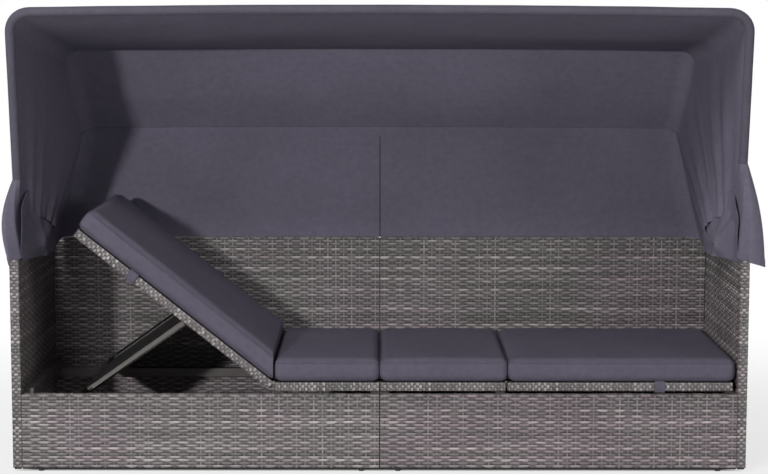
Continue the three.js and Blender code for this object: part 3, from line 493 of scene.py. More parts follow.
slotFinishes = {
    "frame_steel": "blackSteel", "bright_steel": "brightSteel", "foot_plastic": "footPlastic",
    "woven_cane": "caneCore", "cushion_cloth": "cushionCloth", "canopy_cloth": "canopyCloth",
}
nodeFinishes = {"prop_frame": "propSteel", "prop_sheet": "sheetSteel", "seat_frame": "railSteelLit"}


def dressNodes():
    for entry in frame["record"]["subparts"]:
        dress(nodes[entry["node"]], finishes[slotFinishes[entry["material_slot"]]])
    for side in sides:
        for kind, finish in nodeFinishes.items():
            dress(nodes[f"{kind}_{side}"], finishes[finish])


dressNodes()

cane = {
    "pitch": 0.0082, "width": 0.0078, "flatness": 0.6, "swing": 0.0008, "stepsPerBump": 4,
    "turnIn": 0.0009, "shoulderShare": 0.55,
    "stakePitch": 0.024, "edgeStakePitch": 0.0082,
    "stakeWidth": 0.0048, "stakeShare": 0.6, "stakeLow": 0.62,
    "waver": 0.00035, "upWaves": (31, 2.4, 1.7), "outWaves": (19, 4.1), "rowNudge": 0.001,
    "coreDrop": 0.0034, "seat": 0.0013, "hem": 0.004,
    "joint": 0.003, "jointInset": 0.0012, "jointAir": 0.0001,
    "smoothAngle": 50,
}


# how deep each point lies, from 0 on a crest to 1 at the bottom; the cane takes its painted shade and
# highlight from it
def setLow(piece, low):
    layer = piece.data.attributes.get("low") or piece.data.attributes.new("low", "FLOAT", "POINT")
    layer.data.foreach_set("value", np.clip(low, 0, 1).astype(np.float32))


# swaps a piece's x and z and keeps its faces outward
def turnUpright(piece, shift=0.0):
    points = readPoints(piece)
    writePoints(piece, np.stack([points[:, 2] + shift, points[:, 1], points[:, 0]], 1))
    editWhole(piece, bpy.ops.mesh.flip_normals)


# one flat strand along x, its width along z and its face towards -y
def flatStrand(length, width, steps, offsetFromRun, side):
    bpy.ops.mesh.primitive_grid_add(x_subdivisions=steps, y_subdivisions=3, size=1)
    strand = bpy.context.object
    points = readPoints(strand)
    run = points[:, 0] + 0.5
    onEdge = np.abs(points[:, 1]) > 0.4
    across = np.sign(points[:, 1]) * np.where(onEdge, 1.0, cane["shoulderShare"])
    sway = offsetFromRun(run)
    depth = sway + np.where(onEdge, cane["turnIn"], 0)
    writePoints(strand, np.stack([run * length, depth, across * width / 2 + side], 1))
    setLow(strand, (sway + cane["swing"]) / (2 * cane["swing"]))
    return strand


def arrayed(piece, count, step):
    if count > 1:
        offset = {"use_constant_offset": True, "constant_offset_displace": step}
        modify(piece, "ARRAY", count=count, use_relative_offset=False, **offset)
    return piece


# the way of a strand over one stake and under the next, with flat crests
def overUnder(run, bumps, turn):
    wave = np.cos(pi * (run * bumps - 0.5 + turn))
    return -cane["swing"] * np.sign(wave) * np.abs(wave) ** cane["flatness"]


# rows of strands over and under straight stakes, from the origin along x and z
def wovenField(width, height, stakePitch, firstRow=0):
    bumps = max(2, round(width / stakePitch))
    rows = max(2, round(height / cane["pitch"]))
    pitch = height / rows
    strandWidth = cane["width"] * pitch / cane["pitch"]
    pieces = []
    for phase in (0, 1):
        steps = bumps * cane["stepsPerBump"]
        sway = lambda run: overUnder(run, bumps, phase)
        strand = flatStrand(width, strandWidth, steps, sway, pitch * (0.5 + phase))
        count = (rows + 1 - phase) // 2
        pieces.append(arrayed(strand, count, (0, 0, 2 * pitch)))
    field = joinPieces(pieces, "field")
    setUv(field, lambda points: np.stack([points[:, 0], firstRow + points[:, 2] / pitch], 1))
    points = readPoints(field)
    row = np.floor(points[:, 2] / pitch + cane["rowNudge"])
    size, rowShift, rowTurn = cane["upWaves"]
    points[:, 2] += cane["waver"] * np.sin(points[:, 0] * size + row * rowShift) * np.cos(row * rowTurn)
    size, rowShift = cane["outWaves"]
    points[:, 1] += cane["waver"] * np.sin(points[:, 0] * size + row * rowShift)
    writePoints(field, points)
    stakePitch = width / bumps
    stakeWidth = min(cane["stakeWidth"], stakePitch * cane["stakeShare"])
    stake = flatStrand(height, stakeWidth, 1, lambda run: run * 0, 0)
    # the stakes take a fixed level of the painted dip shade
    setLow(stake, np.full(len(stake.data.vertices), cane["stakeLow"]))
    turnUpright(stake, stakePitch / 2)
    arrayed(stake, bumps, (stakePitch, 0, 0))
    setUv(stake, lambda points: np.stack([points[:, 2], stakeRows + points[:, 0] / stakePitch], 1))
    return joinPieces([field, stake], "field")


# which way x, -y and z of a woven face turn for each face of a box
faceTurns = {
    "-y": ((1, 0, 0), (0, 1, 0), (0, 0, 1)),
    "+y": ((-1, 0, 0), (0, -1, 0), (0, 0, 1)),
    "-x": ((0, -1, 0), (1, 0, 0), (0, 0, 1)),
    "+x": ((0, 1, 0), (-1, 0, 0), (0, 0, 1)),
    "+z": ((1, 0, 0), (0, 0, -1), (0, 1, 0)),
    "-z": ((1, 0, 0), (0, 0, 1), (0, -1, 0)),
}


# a woven face of the box from low to high; on an edge the strands cross the short side
def dressFace(low, high, face, kind):
    xWay, yWay, zWay = (Vector(way) for way in faceTurns[face])
    size = high - low
    width = abs(size.dot(xWay))
    height = abs(size.dot(zWay))
    if kind == "weave":
        made = wovenField(width, height, cane["stakePitch"])
    else:
        made = wovenField(*sorted((width, height)), cane["edgeStakePitch"], edgeRows)
        if width >= height:
            turnUpright(made)
    ends = zip(low, high, xWay, yWay, zWay)
    corner = Vector([last if min(ways) < 0 else first for first, last, *ways in ends])
    corner += yWay * cane["seat"]
    turn = Matrix((xWay, yWay, zWay)).transposed().to_4x4()
    made.data.transform(Matrix.Translation(corner) @ turn)
    return made


# the inside of a panel, set back behind its woven faces and near black, a painted shade seen through the
# gaps between strands
def coreBox(low, high, faces):
    bpy.ops.mesh.primitive_cube_add(size=1)
    core = bpy.context.object
    middle = (low + high) / 2
    core.data.transform(Matrix.Translation(middle) @ Matrix.Diagonal((*(high - low), 1)))
    points = readPoints(core)
    for axis, letter in enumerate("xyz"):
        beyond = points[:, axis] > middle[axis]
        lowDrop, highDrop = (cane["coreDrop"] if side + letter in faces else 0 for side in "-+")
        points[:, axis] += np.where(beyond, -highDrop, lowDrop)
    writePoints(core, points)
    setLow(core, np.ones(len(points)))
    setUv(core, lambda points: points[:, [0, 2]])
    return core


def addPanel(name, cadNode, body, low, high, faces, place=None, hem=0.0):
    # the woven faces start a hem above the panel's foot, where the near-black core shows as a strip of
    # painted shade
    faceLow = low + Vector((0, 0, hem))
    faceHigh = high.copy()
    coreHigh = high.copy()
    if abs(high.x) < cane["joint"]:
        faceHigh.x -= cane["jointInset"]
        coreHigh.x = -high.x - cane["jointAir"]
    if abs(low.x) < cane["joint"]:
        faceLow.x += cane["jointInset"]
    core = coreBox(low, coreHigh, faces)
    dress(core, finishes["caneCore"])
    dressed = [dressFace(faceLow, faceHigh, face, kind) for face, kind in faces.items()]
    for piece in dressed:
        dress(piece, finishes["wovenCane"])
    panel = joinPieces([core, *dressed], name)
    if place is not None:
        panel.data.transform(place)
    smooth(panel, cane["smoothAngle"])
    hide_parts(cadNode)
    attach(panel, body)


wallFaces = {"-y": "weave", "+y": "weave", "+z": "edge"}
uprightFaces = {
    "arm": {"-x": "weave", "+x": "weave", "-y": "edge", "+y": "edge", "+z": "edge"},
    "back": wallFaces, "apron": wallFaces,
}


def addUprightPanels():
    for side in sides:
        for kind, faces in uprightFaces.items():
            cadNode = f"{kind}_weave_{side}"
            low, high = (Vector(corner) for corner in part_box(cadNode))
            name = f"{kind}Cane{side.title()}"
            addPanel(name, cadNode, "root", low, high, faces, hem=cane["hem"])


slab = {"low": 0.221, "high": 0.244, "front": -0.285, "back": 0.262, "gap": 0.0025, "end": 0.963}


def restTurn():
    axisPlace = Vector((bed["leftHinge"], 0, bed["hingeHeight"]))
    turn = Matrix.Rotation(radians(bed["restRaise"]), 4, "Y")
    return Matrix.Translation(axisPlace) @ turn @ Matrix.Translation(-axisPlace)


def addSlabPanels():
    for side, sign in sides.items():
        title = side.title()
        faces = {"-y": "edge", "+y": "edge"}
        cadNode = f"deck_weave_{side}"
        low, high = (Vector(corner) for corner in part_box(cadNode))
        addPanel(f"deckCane{title}", cadNode, "root", low, high, faces)
        start, end = sorted((bed[f"{side}Hinge"] + sign * slab["gap"], sign * slab["end"]))
        low = bedPoint(start, slab["front"], slab["low"])
        high = bedPoint(end, slab["back"], slab["high"])
        faces["-z"] = "weave"
        faces["-x" if sign < 0 else "+x"] = "edge"
        place = restTurn() if side == "left" else None
        addPanel(f"liftCane{title}", f"panel_weave_{side}", f"{side}_panel", low, high, faces, place)


addUprightPanels()
addSlabPanels()
print("woven panels made")

pad = {
    "thickness": 0.066, "front": -0.290, "back": 0.262, "bottom": 0.2444,
    "edge": 0.011, "edgeSteps": 3, "corner": 0.022, "cornerSteps": 5, "cell": 0.02,
    "crown": 0.004, "crownPower": 4, "swell": 0.004, "swellPower": 8, "pull": 1.2,
    "wave": 0.0022, "waveScale": 7, "wrinkle": 0.0008, "wrinkleScale": (22, 40, 30),
    "seamSize": 0.0009, "seamSides": 6, "seamStep": 0.015,
    "lean": 0.001, "smoothAngle": 60,
    "bend": {
        "left": ((-0.0279, 0.0101), (0.0019, -0.0007)),
        "right": ((-0.0245, 0.0297), (0.0071, -0.0086)),
    },
}
# both ends, solid it stands for, body and seed of the ripples
padPlaces = {
    "cushionMiddleLeft": (-0.2870, -0.0005, "cushion_deck_left", "root", 0),
    "cushionMiddleRight": (0.0005, 0.3490, "cushion_deck_right", "root", 3),
    "cushionEndRight": (0.3505, 0.9705, "cushion_panel_right", "right_panel", 7),
    "cushionEndLeft": (-0.9705, -0.2885, "cushion_panel_left", "left_panel", 11),
}


def roundUprights(piece):
    choose(piece)
    for edge in piece.data.edges:
        first, second = (piece.data.vertices[index].co for index in edge.vertices)
        edge.select = abs(first.z - second.z) > pad["thickness"] / 2
    for element in (*piece.data.vertices, *piece.data.polygons):
        element.select = False
    bpy.ops.object.mode_set(mode="EDIT")
    bpy.ops.mesh.select_mode(type="EDGE")
    bpy.ops.mesh.bevel(offset=pad["corner"], segments=pad["cornerSteps"])
    bpy.ops.mesh.select_mode(type="VERT")
    bpy.ops.object.mode_set(mode="OBJECT")


# a welted seam round the cushion at the given height
def padSeam(low, high, height):
    radius = pad["corner"]
    steps = pad["cornerSteps"]
    left, right = low.x + radius, high.x - radius
    front, back = low.y + radius, high.y - radius
    places = ((right, back), (left, back), (left, front), (right, front))
    middles = [Vector((x, y, height)) for x, y in places]
    outline = []
    for quarter, middle in enumerate(middles):
        for step in range(steps + 1):
            angle = (quarter + step / steps) * pi / 2
            outline.append(middle + radius * Vector((cos(angle), sin(angle), 0)))
        gap = middles[(quarter + 1) % 4] - middle
        count = round(gap.length / pad["seamStep"])
        start = outline[-1]
        outline += [start + gap * step / count for step in range(1, count)]
    upward = Vector((0, 0, 1))
    return tubePiece("seam", outline, upward, pad["seamSides"], lambda *at: pad["seamSize"], True)


def padBlank(low, high):
    size = high - low
    bpy.ops.mesh.primitive_cube_add(size=1, location=(low + high) / 2, scale=size)
    piece = bpy.context.object
    bpy.ops.object.transform_apply(location=True, rotation=True, scale=True)
    roundUprights(piece)
    edge = {"width": pad["edge"], "segments": pad["edgeSteps"]}
    modify(piece, "BEVEL", limit_method="ANGLE", angle_limit=1.0, **edge)
    cuts = []
    for axis, normal in enumerate(((1, 0, 0), (0, 1, 0))):
        cells = round(size[axis] / pad["cell"])
        for index in range(1, cells):
            spot = low.copy()
            spot[axis] += size[axis] * index / cells
            cuts.append((spot, normal))
    cuts.append(((low + high) / 2, (0, 0, 1)))

    def cut():
        for spot, normal in cuts:
            bpy.ops.mesh.select_all(action="SELECT")
            bpy.ops.mesh.bisect(plane_co=spot, plane_no=normal)

    editWhole(piece, cut)
    return piece


# the top crowns, the sides swell between pulled-in corners, and the cloth ripples
def fillCushion(piece, low, high, seed):
    points = readPoints(piece)
    middle = np.array((low + high) / 2)
    share = (points - middle) / np.array((high - low) / 2)
    u, v, w = np.clip(share, -1, 1).T
    power = pad["crownPower"]
    dome = (1 - np.abs(u) ** power) * (1 - np.abs(v) ** power)
    points[:, 2] += np.where(w > 0, share[:, 2] * pad["crown"] * dome, 0)
    swell = pad["swell"] * (1 - w**2)
    pull = pad["swell"] * pad["pull"]
    for axis, own in enumerate((u, v)):
        rim = np.sign(own) * np.abs(own) ** pad["swellPower"]
        points[:, axis] += rim * (swell - pull * (1 - share[:, 1 - axis] ** 2)) / 2
    for index in np.flatnonzero(w > 0):
        spot = Vector(points[index])
        broad = spot * pad["waveScale"] + Vector((seed, 0, 0))
        fine = spot * Vector(pad["wrinkleScale"]) + Vector((0, 0, seed))
        height = noise.noise(broad) * pad["wave"] + noise.noise(fine) * pad["wrinkle"]
        points[index, 2] += height * share[index, 2]
    writePoints(piece, points)


# an end cushion's placement is baked into its mesh
def bendAtHinge(piece):
    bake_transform(piece)


# the raised cushion's lower end stands upright against its neighbour
def leanEnd(piece):
    points = readPoints(piece)
    slope = tan(radians(bed["restRaise"]))
    above = points[:, 2] - bed["hingeHeight"]
    points[:, 0] = np.minimum(points[:, 0], bed["leftHinge"] - pad["lean"] - above * slope)
    writePoints(piece, points)


def addCushions():
    for name, (start, end, cadNode, body, seed) in padPlaces.items():
        low = bedPoint(start, pad["front"], pad["bottom"])
        high = bedPoint(end, pad["back"], pad["bottom"] + pad["thickness"])
        levels = (low.z + pad["edge"], high.z - pad["edge"])
        seams = [padSeam(low, high, level) for level in levels]
        piece = joinPieces([padBlank(low, high), *seams], name)
        fillCushion(piece, low, high, seed)
        if body == "left_panel":
            leanEnd(piece)
            piece.data.transform(restTurn())
        modify(piece, "SUBSURF", levels=1, render_levels=1)
        smooth(piece, pad["smoothAngle"])
        dress(piece, finishes["cushionCloth"])
        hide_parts(cadNode)
        if body == "root":
            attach(piece, body)
        else:
            bendAtHinge(piece)


# the outline runs round the panel's front edge to its underside
strap = {
    "width": 0.028,
    "middles": {"left": -0.7715, "right": 0.7635},
    "columns": (-1, -0.8, 0, 0.8, 1),
    "outline": [
        (0.0070, 0.2495), (0.0008, 0.2462), (-0.0002, 0.240), (0.0002, 0.232),
        (0.0006, 0.222), (0.0030, 0.2178), (0.012, 0.2173), (0.026, 0.2173),
    ],
    "thickness": 0.0012,
    "smoothAngle": 50,
}


# a band sewn to each end cushion, wrapped round the front edge of its panel
def addStraps():
    for side, middle in strap["middles"].items():
        rows = []
        for across in strap["columns"]:
            x = middle + across * strap["width"] / 2
            rows.append([bedPoint(x, pad["front"] + y, z) for y, z in strap["outline"]])
        piece = gridPiece(f"cushionStrap{side.title()}", rows)
        if side == "left":
            piece.data.transform(restTurn())
        thicken(piece, strap, "cushionCloth")
        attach(piece, f"{side}_panel")


addCushions()
addStraps()
print("cushions made")

hoops = {
    "front": {"width": 1.0080, "angle": -18.1},
    "middle": {"width": 0.9670, "angle": 36.8},
    "rear": {"width": 0.9450, "angle": 64.0},
}
# what all hoops share
bow = {
    "length": 0.676, "corner": 0.057, "arch": 0.008, "splay": 0.018,
    "pivot": (0, -0.089, 0.604),
}
cloth = {
    "legSteps": 22, "cornerSteps": 8, "topSteps": 34, "rows": 26,
    "thickness": 0.0009, "smoothAngle": 60, "slack": 1.03,
    "inset": 0.0112, "start": 0.085, "slant": 0.008, "hold": 0.82,
    "overlap": 0.012, "seam": 0.005, "lift": 0.0016, "seamLift": 0.00128,
    "seatMiddle": (0, 0, 0.62),
}


# a line from the left pivot round two corners to the right pivot
def bentLine(start, shoulder, radius, top, acrossAt, heightAt):
    half = []
    for step in range(cloth["legSteps"]):
        reach = start + step / cloth["legSteps"] * (shoulder - start)
        half.append((acrossAt(reach), reach))
    for step in range(cloth["cornerSteps"]):
        angle = step / cloth["cornerSteps"] * pi / 2
        half.append((top - radius * (1 - cos(angle)), shoulder + radius * sin(angle)))
    for step in range(cloth["topSteps"] + 1):
        share = 1 - step / cloth["topSteps"]
        half.append((share * (top - radius), heightAt(share)))
    return [(-across, reach) for across, reach in half] + half[-2::-1]


# points of a hoop in its own plane
def hoopLine(width, inset, slant=0.0):
    start = cloth["start"]
    shoulder = bow["length"] - bow["corner"]

    def acrossAt(reach):
        return width - inset - slant * start / reach - bow["splay"] * reach / shoulder

    def heightAt(share):
        return bow["length"] - inset + bow["arch"] * (1 - share**2)

    top = width - bow["splay"] - inset
    return bentLine(start, shoulder, bow["corner"] - inset, top, acrossAt, heightAt)


def leanLine(line, lean):
    angle = radians(lean)
    px, py, pz = bow["pivot"]
    return [
        bedPoint(across, py + reach * sin(angle), pz + reach * cos(angle))
        for across, reach in line
    ]


def clothRows(first, second, shape):
    last = len(first) - 1
    shares = [row / cloth["rows"] for row in range(cloth["rows"] + 1)]
    return [
        [shape(first[index].lerp(second[index], share), share, index / last) for index in range(last + 1)]
        for share in shares
    ]


legShare = cloth["legSteps"] / (2 * (cloth["legSteps"] + cloth["cornerSteps"] + cloth["topSteps"]))
gore = {
    "hangReach": 1.6, "foldBase": 0.6, "foldWave": 0.5,
    "sideRipple": 0.004, "sideScale": (6, 5, 30),
    "topRipple": 0.006, "topScale": (2.6, 3.0),
}


# side folds fan out from the pivot; the roof sags a little and ripples
def goreShape(folds, foldSize, sag, seed):
    def ripple(size, *place):
        return size * noise.noise(Vector(place))

    def shape(point, share, around):
        fade = sin(share * pi)
        onSide = max(0.0, 1 - min(around, 1 - around) / legShare)
        inward, phase = (-1, 1) if point.x > 0 else (1, 2)
        hang = sin(min(1.0, onSide * gore["hangReach"]) * pi / 2)
        wave = sin(share * folds * 2 * pi + phase)
        size = foldSize * (gore["foldBase"] + gore["foldWave"] * wave)
        a, b, c = gore["sideScale"]
        size += ripple(gore["sideRipple"], point.x * a, share * b, around * c + seed)
        point.x += inward * hang * fade * size
        a, b = gore["topScale"]
        drop = sag + ripple(gore["topRipple"], point.x * a, share * b, seed)
        point.z -= (1 - hang) * fade * drop
        return point

    return shape


def finishCloth(piece, cadNode, finish="canopyCloth", **declared):
    thicken(piece, cloth, finish)
    if cadNode:
        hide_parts(cadNode)


# a strip of cloth, thickened and dressed like the other cloth
def finishStrip(piece, width, rests, held="stretched", finish="canopyCloth"):
    size = (width, meshArea(piece) / width)
    finishCloth(piece, None, finish, flat=size, held=held, rests_on=rests)


hem = {"widthInset": 0.018, "rearInset": 0.012, "above": 0.001, "dip": 0.016, "dipPlaces": (0.226, 0.266)}


# the lower edge of the rear gore, along the tops of the arms and the back
def hemLine():
    width = bed["armInner"] - hem["widthInset"]
    rear = bed["halfDepth"] - hem["rearInset"]
    radius = bow["corner"]
    start = bow["pivot"][1] + cloth["start"]
    line = bentLine(start, rear - radius, radius, width, lambda reach: width, lambda share: rear)
    height = bed["armTop"] + hem["above"]
    return [
        bedPoint(across, depth, height - np.interp(depth, hem["dipPlaces"], (hem["dip"], 0)))
        for across, depth in line
    ]


def flatSize(first, second):
    def length(line):
        return sum((after - before).length for before, after in zip(line, line[1:]))

    middle = len(first) // 2
    return max(length(first), length(second)), (first[middle] - second[middle]).length


# solid, edges, bodies and hoops that hold them, folds, overlap rows, number of strips
gores = {
    "canopyRoof": (
        "canopy_front", ("front", "middleSlanted"), ("front_hoop", "middle_hoop"),
        ["hoop_front", "hoop_middle"], (3, 0.010, 0.012, 1), 0, 0,
    ),
    "canopyRearUpper": (
        "canopy_middle", ("middle", "rearSlanted"), ("middle_hoop", "rear_hoop"),
        ["hoop_middle", "hoop_rear"], (2, 0.007, 0.015, 5), 4, 1,
    ),
    "canopyRearLower": (
        "canopy_rear", ("rearSlanted", "hem"), ("rear_hoop", "root"),
        ["hoop_rear"], (2, 0.006, 0.009, 9), 3, 2,
    ),
}


def addGores():
    lines = {"hem": hemLine()}
    for name, hoop in hoops.items():
        for label, slant in (("", 0.0), ("Slanted", cloth["slant"])):
            line = hoopLine(hoop["width"], cloth["inset"], slant)
            lines[name + label] = leanLine(line, hoop["angle"])
    for name, (cadNode, edges, bodies, rests, shape, *strips) in gores.items():
        first, second = (lines[edge] for edge in edges)
        rows = clothRows(first, second, goreShape(*shape))
        piece = gridPiece(name, rows)
        width, length = flatSize(first, second)
        length *= cloth["slack"]
        size = {"flat": (width, length), "area": min(meshArea(piece), width * length)}
        finishCloth(piece, cadNode, held="stretched", rests_on=rests, **size)
        blendGore(piece, first, second)
        for label, strip, finish in seamStrips(rows, *strips):
            tape = gridPiece(name + label, strip)
            finishStrip(tape, cloth["overlap"], rests, finish=finish)
            blendGore(tape, first, second)


# a row of points moved a little towards the seat
def towardsSeat(row, amount):
    middle = bedPoint(*cloth["seatMiddle"])
    return [point + (middle - point).normalized() * amount for point in row]


# the overlap along the upper edge of a rear gore, and the middle seam of the lowest one, whose darker
# cloth is painted shade along its fold
def seamStrips(rows, overlapRows, count):
    overlap = [towardsSeat(row, cloth["lift"]) for row in rows[:overlapRows]]
    half = Vector((cloth["seam"] / 2, 0, 0))
    middles = [row[len(row) // 2] for row in rows]
    seam = [towardsSeat([point - half, point + half], cloth["seamLift"]) for point in middles]
    return [("Overlap", overlap, "canopyCloth"), ("Seam", seam, "seamShadeLine")][:count]


# the gore's placement is baked into its mesh
def blendGore(piece, first, second):
    middle = len(first) // 2
    pivot = bedPoint(*bow["pivot"])
    start = pivot.lerp(first[middle], cloth["hold"])
    end = pivot.lerp(second[middle], cloth["hold"])
    start.x = end.x = 0
    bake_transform(piece)


sleeve = {
    "radius": 0.0118, "air": 0.0005, "sections": 14,
    "ripple": 0.0006, "rippleScale": 9, "turnScale": 0.35,
}


# a sewn pocket of cloth round each hoop
def addSleeves():
    def radiusAt(point, step):
        place = point * sleeve["rippleScale"] + Vector((step * sleeve["turnScale"], 0, 0))
        return sleeve["radius"] + sleeve["air"] + sleeve["ripple"] * noise.noise(place)

    girth = 2 * pi * sleeve["radius"] * cloth["slack"]
    for name, hoop in hoops.items():
        line = leanLine(hoopLine(hoop["width"], 0.0), hoop["angle"])
        angle = radians(hoop["angle"])
        normal = Vector((0, cos(angle), -sin(angle)))
        piece = tubePiece(f"hoopSleeve{name.title()}", line, normal, sleeve["sections"], radiusAt)
        # the sleeve cloth is darkened as painted shade
        finishStrip(piece, girth, [f"hoop_{name}"], finish="sleeveClothShaded")
        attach(piece, f"{name}_hoop")


addGores()
addSleeves()

flap = {
    "columns": 36, "rows": 26,
    # height on the hoop's leg, reach of the loose corner, and bulge
    "left": (0.192, 1.000, 0.026), "right": (0.242, 1.043, 0.012),
    "bulgeFade": 1.5, "fold": 0.010, "foldTurn": (3.5, 0.6), "sideShare": 0.6,
    "hemRows": 3, "hemOut": (0.0008, -0.0013, 0),
    "flat": (0.36, 0.25), "mostArea": 0.09,
    # the lower edge from its loose corner back along the arm, as across, depth and height
    "corner": (-0.286, 0.562),
    "lower": [
        (0.996, -0.298, 0.576), (0.979, -0.270, 0.582), (0.9735, -0.18, 0.584),
        (0.972, -0.06, 0.586), (0.970, 0.04, 0.588),
    ],
    # the upper edge wraps round the hoop's leg, as outward and forward
    "upper": [
        (0.0125, 0.002, 0), (0.010, 0.010, 0), (0.000, 0.0135, 0),
        (-0.009, 0.010, 0), (-0.012, 0.004, 0), (-0.0125, -0.002, 0),
    ],
}


def alongLine(points, share):
    place = share * (len(points) - 1)
    index = min(int(place), len(points) - 2)
    return Vector(points[index]).lerp(Vector(points[index + 1]), place - index)


def flapPoint(side, share, fall):
    sign = sides[side]
    reach, outer, bulge = flap[side]
    low = alongLine([(outer, *flap["corner"]), *flap["lower"]], share)
    low = bedPoint(sign * low.x, low.y, low.z)
    outward, forward, _ = alongLine(flap["upper"], share)
    angle = radians(hoops["front"]["angle"])
    px, py, pz = bow["pivot"]
    shoulder = bow["length"] - bow["corner"]
    across = hoops["front"]["width"] + outward - bow["splay"] * reach / shoulder
    depth = py + reach * sin(angle) - forward
    point = bedPoint(sign * across, depth, pz + reach * cos(angle)).lerp(low, fall)
    bulge *= sin(fall * pi) * (1 - share) ** flap["bulgeFade"]
    turns, phase = flap["foldTurn"]
    wave = sin(share * turns * pi + phase) * sqrt(max(0.0, sin(share * pi)))
    point.x += sign * (bulge + flap["fold"] * flap["sideShare"] * wave * fall)
    point.y -= flap["fold"] * wave * fall
    return point


# the loose corner that hangs from the front hoop over an arm
def addFlaps():
    for side, sign in sides.items():
        shares = [column / flap["columns"] for column in range(flap["columns"] + 1)][::sign]
        rows = [
            [flapPoint(side, share, row / flap["rows"]) for share in shares]
            for row in range(flap["rows"] + 1)
        ]
        piece = gridPiece(f"canopyFlap{side.title()}", rows)
        size = {"flat": flap["flat"], "area": min(meshArea(piece), flap["mostArea"])}
        finishCloth(piece, f"canopy_flap_{side}", held="hung", rests_on=["hoop_front"], **size)
        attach(piece, "front_hoop")
        out = Vector(flap["hemOut"])
        out.x *= sign
        turned = [[point + out for point in row] for row in rows[-flap["hemRows"] :]]
        hemPiece = gridPiece(f"canopyFlapHem{side.title()}", turned)
        finishStrip(hemPiece, flap["flat"][0], ["hoop_front"], "hung")
        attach(hemPiece, "front_hoop")


cover = {
    "columns": 58, "rows": 30,
    "front": -0.165, "back": 0.125, "radius": 0.150, "leastTop": 0.01,
    "hem": 0.5690, "hole": 0.0085,
    "pinch": 0.9345, "pinchStart": 0.02, "pinchReach": 0.075, "pinchPower": 0.7,
    "ripple": 0.0016, "ripples": 9,
    # bodies of each part, where the bend between them lies and the angles it covers
    "parts": {
        "Front": (("middle_hoop", "front_hoop"), (0.0, -0.045), (-180, 10)),
        "Rear": (("rear_hoop", "middle_hoop"), (0.09, 0.05), (10, 180)),
    },
    # how far out the cloth lies at angles round the bolt
    "planes": [(-110, 0.972), (-60, 0.980), (-18, 0.983), (36.8, 0.9525), (64, 0.9300), (110, 0.9310)],
}


def coverPoint(sign, column, row):
    px, py, pz = bow["pivot"]
    y = cover["front"] + (cover["back"] - cover["front"]) * column / cover["columns"]
    top = sqrt(max(cover["radius"] ** 2 - y**2, 0))
    low = cover["hem"] - pz
    z = low + (max(top, cover["leastTop"]) - low) * row / cover["rows"]
    angle = degrees(atan2(y, z))
    outer = np.interp(angle, *zip(*cover["planes"]))
    ease = (hypot(y, z) - cover["pinchStart"]) / cover["pinchReach"]
    ease = min(1.0, max(0.0, ease)) ** cover["pinchPower"]
    across = cover["pinch"] + (outer - cover["pinch"]) * ease
    across -= cover["ripple"] * ease * sin(radians(angle) * cover["ripples"] + sign)
    return bedPoint(sign * across, py + y, pz + z)


# cloth that closes the side below the gores, with a hole for the pivot bolt
def addPivotCovers():
    pivot = bedPoint(*bow["pivot"])
    span = (cover["back"] - cover["front"]) / 2
    for side, sign in sides.items():
        points = [
            coverPoint(sign, column, row)
            for row in range(cover["rows"] + 1)
            for column in range(cover["columns"] + 1)
        ]
        for part, (bodies, follow, limits) in cover["parts"].items():
            faces = coverFaces(points, pivot, sign, limits)
            used = sorted({corner for face in faces for corner in face})
            faces = [tuple(used.index(corner) for corner in face) for face in faces]
            piece = fresh(f"pivotCover{part}{side.title()}", [points[corner] for corner in used], faces)
            finishStrip(piece, span, [f"pivot_bracket_{side}"])
            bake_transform(piece)


# faces of a cover between two angles, without those over the pivot bolt
def coverFaces(points, pivot, sign, limits):
    faces = []
    for corners in netFaces(cover["rows"] + 1, cover["columns"] + 1):
        middle = sum((points[corner] for corner in corners), Vector()) / 4 - pivot
        angle = degrees(atan2(middle.y, middle.z))
        if hypot(middle.y, middle.z) > cover["hole"] and limits[0] <= angle < limits[1]:
            faces.append(corners[::sign])
    return faces


addFlaps()
addPivotCovers()
print("canopy made")

studio = {
    "floorSize": 60.0, "floor": (0.86, 0.86, 0.86, 1), "worldLight": 0.04,
    "farRange": (0.9, 2.6), "farShare": (0.72, 1.0),
    # middle and half size of the floor's shaded part, along x and y
    "underBed": ((0.0, 0.985), (-0.112, 0.290)), "shadeRange": (0.94, 1.02),
}
# place, the height it aims at, size and power of each lamp
lamps = {
    "keyLamp": ((-3.6, -8.6, 2.15), 0.7, (0.45, 0.35), 375),
    "highLamp": ((-1.6, -3.0, 4.6), 0.5, (1.6, 1.6), 92),
    "fillLamp": ((4.4, -3.6, 1.5), 0.5, (2.0, 2.0), 44),
    "backLampLeft": ((-3.6, 3.4, 2.4), 0.5, (1.8, 1.8), 48),
    "backLampRight": ((3.6, 3.4, 2.4), 0.5, (1.8, 1.8), 48),
}
white = (1, 1, 1, 1)


def seenRays(tree, kinds):
    path = node(tree, "ShaderNodeLightPath")
    seen = path.outputs["Is Camera Ray"]
    for kind in kinds:
        seen = maths(tree, "MAXIMUM", seen, path.outputs[f"Is {kind} Ray"])
    return seen


def mixInto(tree, output, share, first, second):
    mixed = node(tree, "ShaderNodeMixShader", {0: share, 1: first, 2: second})
    tree.links.new(mixed.outputs[0], tree.nodes[output].inputs["Surface"])


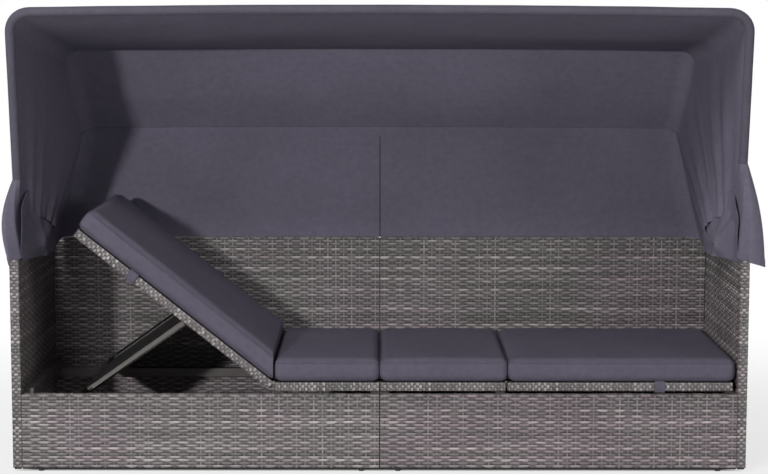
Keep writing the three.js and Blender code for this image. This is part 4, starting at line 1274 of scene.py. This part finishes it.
def addFloor():
    bpy.ops.mesh.primitive_plane_add(size=studio["floorSize"], location=(0, 0, 0))
    floor = bpy.context.object
    floor.name = "studioFloor"
    material, tree, shader = newMaterial("studioFloor", Roughness=0.9, Base_Color=studio["floor"])
    glow = node(tree, "ShaderNodeEmission", in_Strength=1.0, in_Color=white)
    place = objectPlace(tree)
    distance = node(tree, "ShaderNodeVectorMath", {0: place}, operation="LENGTH").outputs["Value"]
    far = mapRange(tree, distance, studio["farRange"], studio["farShare"], "SMOOTHSTEP")
    # in the shade under the bed the floor stays a lit surface
    parts = node(tree, "ShaderNodeSeparateXYZ", {0: place}).outputs
    shares = []
    for axis, (middle, half) in enumerate(studio["underBed"]):
        offset = maths(tree, "ABSOLUTE", maths(tree, "SUBTRACT", parts[axis], middle))
        shares.append(maths(tree, "DIVIDE", offset, half))
    outside = maths(tree, "MAXIMUM", *shares)
    shade = mapRange(tree, outside, studio["shadeRange"], kind="SMOOTHSTEP")
    share = times(tree, seenRays(tree, ["Glossy"]), times(tree, far, shade))
    mixInto(tree, "Material Output", share, shader.outputs[0], glow.outputs[0])
    floor.data.materials.append(material)


def addWorld():
    world = bpy.data.worlds.new("studioSky")
    bpy.context.scene.world = world
    world.use_nodes = True
    tree = world.node_tree
    sky = tree.nodes["Background"]
    sky.inputs["Color"].default_value = white
    sky.inputs["Strength"].default_value = studio["worldLight"]
    bright = node(tree, "ShaderNodeBackground", in_Strength=1.0, in_Color=white)
    seen = seenRays(tree, ["Glossy", "Transmission"])
    mixInto(tree, "World Output", seen, sky.outputs[0], bright.outputs[0])


def addLamps():
    for name, (place, aim, size, power) in lamps.items():
        bpy.ops.object.light_add(type="AREA", location=place)
        lamp = bpy.context.object
        lamp.name = name
        lamp.data.shape = "RECTANGLE"
        lamp.data.size, lamp.data.size_y = size
        lamp.data.energy = power
        way = Vector((0, 0, aim)) - Vector(place)
        lamp.rotation_euler = way.to_track_quat("-Z", "Y").to_euler()


addFloor()
addWorld()
addLamps()
bpy.context.scene.view_settings.view_transform = "Standard"
print("studio made")
